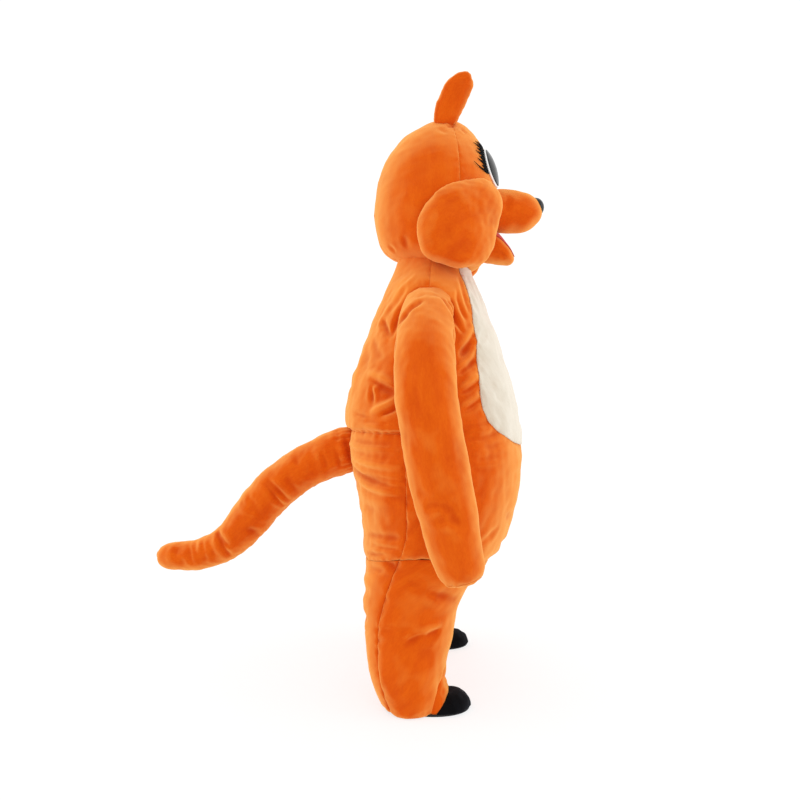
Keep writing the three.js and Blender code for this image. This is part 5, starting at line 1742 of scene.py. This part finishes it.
SNOUT = Form("height middle half tall", [
    (170, 1570, 82, 74),
    (225, 1572, 78, 74),
    (267, 1571, 74, 73),
    (311, 1569, 67, 66),
    (341, 1569, 56, 53),
    (361, 1567, 40, 35),
    (372, 1565, 20, 16),
    (374, 1565, 6, 5),
    (374.5, 1565, 1, 1),
])
JAW = Form("height middle half tall", [
    (158, 1465, 74, 66),
    (196, 1455, 74, 60),
    (221, 1442, 70, 52),
    (244, 1427, 60, 39),
    (262, 1414, 46, 27),
    (273, 1408, 30, 16),
    (278, 1407, 14, 7),
    (279, 1407, 2, 1),
])
FELT = 2.5


def muzzle_point(muzzle, turn, t):
    """A point of an upright section at a turn, and at t, whose height is its reach ahead."""
    row = muzzle.row(t)
    s, c = np.sin(np.radians(turn)), np.cos(np.radians(turn))
    return np.stack([row["half"] * c, -row["height"] + 0 * c, row["middle"] + row["tall"] * s], -1)


def below_snout(points, room):
    """Points of the jaw or its lining, kept below the snout's underside."""
    row = SNOUT.row(SNOUT.at(-points[..., 1]))
    across = points[..., 0] / row["half"]
    under = row["middle"] - row["tall"] * np.sqrt(np.maximum(1 - across ** 2, 0)) - room
    hidden = (np.abs(across) < 1) & (-points[..., 1] < SNOUT.heights[-1])
    kept = points.copy()
    kept[..., 2] = np.where(hidden, np.minimum(points[..., 2], under), points[..., 2])
    return kept


def muzzle_grid(muzzle, columns, step, seed, rows):
    """A muzzle piece's body in rings from the face to its tip, with its folds, and its relief."""
    turns = np.linspace(0, 360, columns, endpoint=False)
    root = comes_out(SKULL, lambda turn, t: muzzle_point(muzzle, turn, t), turns, 0, 3)
    reach = muzzle.row(root)["height"]
    end = muzzle.heights[-1]
    share = stations((end - reach).mean() + 40, step, end=False)[:, None]
    ahead = reach + (end - reach) * (1 - (1 - share) ** 1.6)
    t = muzzle.at(ahead)
    turn = np.repeat(turns[None], len(share), axis=0)
    smooth = muzzle_point(muzzle, turn, t)
    middle = np.stack([0 * t, -ahead, muzzle.row(t)["middle"]], -1)
    relief = creases(rows, turn, ahead, MUZZLE_DEGREE)
    relief += 1.1 * waves(smooth, seed, 40, 110) - 5 * np.exp(-(ahead - reach) / 7)
    relief += 0.7 * gathers(turn, 23) * np.exp(-(ahead - reach) / 9)
    relief *= np.clip((end - ahead) / 18, 0.05, 1)
    return smooth + outwards(smooth, middle) * relief[..., None] + seated(smooth, SKULL, 7), relief


MUZZLE_DEGREE = 1.1  # millimetres in a degree round the snout and the jaw
SNOUT_CREASES = [(200, 240, 150, 252, 3, 3, 11), (330, 244, 300, 262, 3, 3, 10)]
JAW_CREASES = [(200, 226, 230, 238, 2, 2.5, 9), (310, 232, 340, 222, 2, 2.5, 9)]
snout_body, relief = muzzle_grid(SNOUT, 96, 4.6, 91, SNOUT_CREASES)
snout = stuffed("snout_plush", [back_on(SKULL, snout_body[0], 10), snout_body], [None, relief])
on_head(snout, "orange_plush", "snout")
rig.padded(snout, fill=0.9)

LINING_GAP = 2.0  # between the snout and the lining
jaw_body, relief = muzzle_grid(JAW, 84, 4.2, 92, JAW_CREASES)
grids = back_on(SKULL, jaw_body[0], 10), jaw_body
jaw = stuffed("jaw_plush", [below_snout(grid, LINING_GAP + FELT + SEAM) for grid in grids],
              [None, relief])
on_head(jaw, "orange_plush", "jaw")
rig.padded(jaw, fill=0.9)

# wool felt has no shine, and a fuzz of matted fibres about 1 mm long
RED_FELT = small_material(
    "red_wool_felt", "#a81c18", "#d8342a", ("Noise", {"Scale": 900, "Detail": 4}),
    {"Roughness": 0.9, "Sheen Weight": 0.3}, raised=(0.5, 0.0006))
turns = np.linspace(0, 360, jaw_body.shape[1], endpoint=False)
columns = (turns > 22) & (turns < 158)  # the lining covers the jaw's top, nearly to its tip
rows = -jaw_body[:, 0, 1] < JAW.row(np.array(5.6))["height"]
away = outwards(jaw_body, jaw_body.mean(1, keepdims=True))[rows][:, columns]
top = jaw_body[rows][:, columns]
over = below_snout(top + away * (SEAM + FELT), LINING_GAP)
under = below_snout(top + away * SEAM, LINING_GAP + FELT)
lining = cloth_wall("mouth_felt", over, under, np.zeros(over.shape[:2]), RED_FELT)
on_head(lining, "red_felt", "mouth_lining")
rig.sheet(lining, held="laid", rests_on=["jaw_plush"], **cut_of(over))

# ---- Nose ----------------------------------------------------------------------------------------
# A moulded cap of glossy black plastic, fixed to the snout's tip from inside.

# faint flow marks from the mould and fine hairline scratches soften the gloss here and there
GLOSS = small_material(
    "moulded_gloss_black_abs", "#030406", "#0a0c10", ("Noise", {"Scale": 60, "Detail": 3}),
    {"IOR": 1.5, "Specular IOR Level": 0.3, "Coat Weight": 0.12, "Coat Roughness": 0.1},
    raised=(0.12, 0.0005), rough=(0.16, 0.3))
NOSE = dict(half=35, reach=26, tall=31, tilt=-24, y=-356, height=1588)


def in_snout(points):
    row = SNOUT.row(SNOUT.at(-points[..., 1]))
    off = np.hypot(points[..., 0] / row["half"], (points[..., 2] - row["middle"]) / row["tall"])
    return (off < 1) & (-points[..., 1] < SNOUT.heights[-1])


def nose_point(spoke, fall):
    """A point of the cap: fall 0 is its foremost point and 180 its back."""
    ahead, ring = np.cos(np.radians(fall)), np.sin(np.radians(fall))
    x = NOSE["half"] * ring * np.cos(np.radians(spoke))
    z = NOSE["tall"] * ring * np.sin(np.radians(spoke))
    y = -NOSE["reach"] * ahead
    c, s = math.cos(math.radians(NOSE["tilt"])), math.sin(math.radians(NOSE["tilt"]))
    return np.stack([x, y * c - z * s + NOSE["y"], y * s + z * c + NOSE["height"]], -1)


spokes = np.linspace(0, 360, 64, endpoint=False)
# the fall at which the cap meets the snout
rim = crossing(lambda fall: ~in_snout(nose_point(spokes, fall)), spokes, 5, 178)[0]
cap = nose_point(np.repeat(spokes[None], 30, axis=0), rim * np.linspace(0, 1, 30)[:, None])
back = np.array([cap[-1] + (cap[-1].mean(0) - cap[-1]) * share for share in (0.06, 0.4, 0.7, 1)])
# the cap's back is moved forwards, half a millimetre at a time, until it is out of the snout
for _ in range(60):
    back[..., 1] -= np.where(in_snout(back), 0.5, 0)
nose = lump("nose_cap", np.concatenate([cap, back]), GLOSS)
on_head(nose, "black_gloss", "nose")

# ---- Eyes and lashes -----------------------------------------------------------------------------
# An eye is a moulded oval: a white plate with a glossy black lens on it. The lashes are one strip
# of black felt, cut into points and fanned round the eye's outer upper edge.

# half glossy from the mould, with a faint unevenness in its shine
WHITE = small_material(
    "moulded_gloss_white_abs", "#ececea", "#f8f8f6", ("Noise", {"Scale": 45, "Detail": 2}),
    {"IOR": 1.5}, rough=(0.22, 0.36))
# craft felt drinks the light: no shine, and matted fibres about 1 mm long
FELT_BLACK = small_material(
    "black_craft_felt", "#020203", "#09090b", ("Noise", {"Scale": 900, "Detail": 4}),
    {"Roughness": 0.95, "Specular IOR Level": 0.08, "Sheen Weight": 0.02}, raised=(0.5, 0.0005))


def on_eye(share, turn, out, left, folded=False):
    """The point at a share of the way from an eye's middle to its plate's edge, and at a turn."""
    angle = EYE["angle"] + EYE["across"] * share * np.cos(np.radians(turn))
    angle = -angle if left else angle
    t = SKULL.at(EYE["height"] + EYE["up"] * share * np.sin(np.radians(turn)))
    base = SKULL.surface(angle, t)[0] if folded else SKULL.smooth(angle, t)
    return base + SKULL.normal(angle, t) * (out + 0 * share)[..., None]


PLATE_EDGE = 4  # off the plush, and the plate's middle stands PLATE_DOME further off
PLATE_DOME = 5


def plate_rise(share):
    return PLATE_EDGE + PLATE_DOME * np.sqrt(1 - 0.9 * share ** 2)


def domed(name, edge, over, under, material, left):
    """A dome over the face, its edge rounded over. under is its underside's height, or None where
    it lies on the plush."""
    shares = edge * np.sin(np.linspace(0, np.pi / 2, 22))
    turn, share = np.meshgrid(np.linspace(0, 360, 72, endpoint=False), shares)
    rounding = 1.6 * (1 - np.sqrt(1 - np.clip((share / edge - 0.95) / 0.05, 0, 1) ** 2))
    top = on_eye(share, turn, over(share) - rounding, left)
    bottom = on_eye(share, turn, under(share) if under else LAID, left, folded=under is None)
    return lump(name, np.concatenate([top, bottom[::-1]]), material)


LENS_STEP = 1.6  # the lens's thickness towards the plate's edge, and LENS_DOME more in its middle
LENS_DOME = 4
# root is where the strip starts, as shares of the way out to the plate's edge, far is a long tip
# and valley is between two, and first and last are the turns it runs between. A point's turn is
# comb times its root's, and lean more, so that all point outwards. The strip lies gap off the
# plush, and stands further off it beyond loose.
LASH = dict(root=1.02, valley=1.34, far=1.9, first=-31, last=66, comb=0.62, lean=5, gap=1.2,
            loose=1.25, thick=1.6)
LASH_TIPS = [2.3, 1.62, 1.9, 1.7, 1.95, 1.8, 2.05, 1.85, 1.6]
for left, side in SIDES:
    plate = domed(f"eye_plate_white_{side}", 1.0, plate_rise, None, WHITE, left)
    on_head(plate, "white_gloss", f"eye_plate_{side}")
    lens = domed(
        f"eye_lens_black_{side}", 0.92,
        lambda share: plate_rise(share) + SEAM + LENS_STEP + LENS_DOME * (1 - share * share),
        lambda share: plate_rise(share) + SEAM, GLOSS, left)
    on_head(lens, "black_gloss", f"eye_lens_{side}")

    place = np.linspace(0, len(LASH_TIPS), len(LASH_TIPS) * 12 + 1)
    tooth = np.minimum(place.astype(int), len(LASH_TIPS) - 1)
    point = (1 - np.abs(2 * (place - tooth) - 1)) ** 1.8
    edge = LASH["valley"] + (np.array(LASH_TIPS)[tooth] - LASH["valley"]) * point
    turn = LASH["first"] + (LASH["last"] - LASH["first"]) * place / len(LASH_TIPS)
    rows = np.linspace(0, 1, 13)[:, None]
    share = LASH["root"] + (edge - LASH["root"]) * rows
    out = (share - LASH["root"]) / (LASH["far"] - LASH["root"])
    swept = turn + out * (turn * (LASH["comb"] - 1) + LASH["lean"])
    lift = LASH["gap"] + 3.0 * np.clip(share - LASH["loose"], 0, 1) ** 1.5
    over = on_eye(share, swept, lift + LASH["thick"], left, folded=True)
    under = on_eye(share, swept, lift, left, folded=True)
    lashes = cloth_wall(f"lashes_felt_{side}", over, under, 0 * share, FELT_BLACK)
    on_head(lashes, "black_felt", f"lashes_{side}")
    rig.sheet(lashes, flat=(0.1, 0.065), held="laid", area=cut_of(over)["area"],
             rests_on=["face_plush"])

# ---- Studio --------------------------------------------------------------------------------------
# A pale floor lit from below, which runs into a white surround, two tall soft boxes beside the
# costume and one above.

SCENE = bpy.context.scene
TARGET = (0.0, 0.112, FLOOR + 0.925)
DISTANCE = 2.27
TURN = math.radians(5)  # the camera looks from the right side, a little from ahead
camera_data = bpy.data.cameras.new("camera")
camera_data.lens = 29.7
camera = linked("camera", camera_data)
camera.location = (
    TARGET[0] - DISTANCE * math.cos(TURN), TARGET[1] - DISTANCE * math.sin(TURN), TARGET[2])
camera.rotation_euler = (math.radians(90), 0, TURN - math.radians(90))
SCENE.camera = camera

floor_mesh = bpy.data.meshes.new("floor")
REACH, DROP = 40, FLOOR - 0.0005
floor_mesh.from_pydata(
    [(-REACH, -REACH, DROP), (REACH, -REACH, DROP), (REACH, REACH, DROP), (-REACH, REACH, DROP)],
    [], [(0, 1, 2, 3)])
# uncoated paper, without shine, which hides its seam with the surround by its own light
floor_mesh.materials.append(small_material(
    "matt_white_studio_paper", "#8c8c8c", "#909090", ("Noise", {"Scale": 40.0, "Detail": 3}),
    {"Roughness": 0.9, "Emission Color": colour("#ffffff"), "Emission Strength": 0.72}))
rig.stage(linked("floor", floor_mesh))

world = bpy.data.worlds.new("white_surround")
world.use_nodes = True
surround = world.node_tree.nodes["Background"].inputs
surround["Color"].default_value = colour("#ffffff")
surround["Strength"].default_value = 1.07
SCENE.world = world
SCENE.view_settings.view_transform = "Standard"

AIM = np.array([0, 0.1, FLOOR + 1.0])
for name, place, size, power in (
        ("soft_box_back", (-0.4, 3.0, FLOOR + 1.6), (1.6, 2.6), 12),
        ("soft_box_front", (-0.4, -3.0, FLOOR + 1.6), (1.6, 2.6), 12),
        ("soft_box_top", (-0.6, 0.1, FLOOR + 3.6), (2.4, 2.4), 2)):
    light = bpy.data.lights.new(name, "AREA")
    light.shape = "RECTANGLE"
    light.size, light.size_y = size
    light.energy = power
    x, y, z = np.array(place) - AIM
    lamp = linked(name, light)
    lamp.location = place
    lamp.rotation_euler = (math.atan2(math.hypot(x, y), z), 0, math.atan2(y, x) + math.pi / 2)

json.dump(
    {"cad": [list(c) for c in cad_box], "visual": [list(c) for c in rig.bounds()]},
    open("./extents.json", "w"))
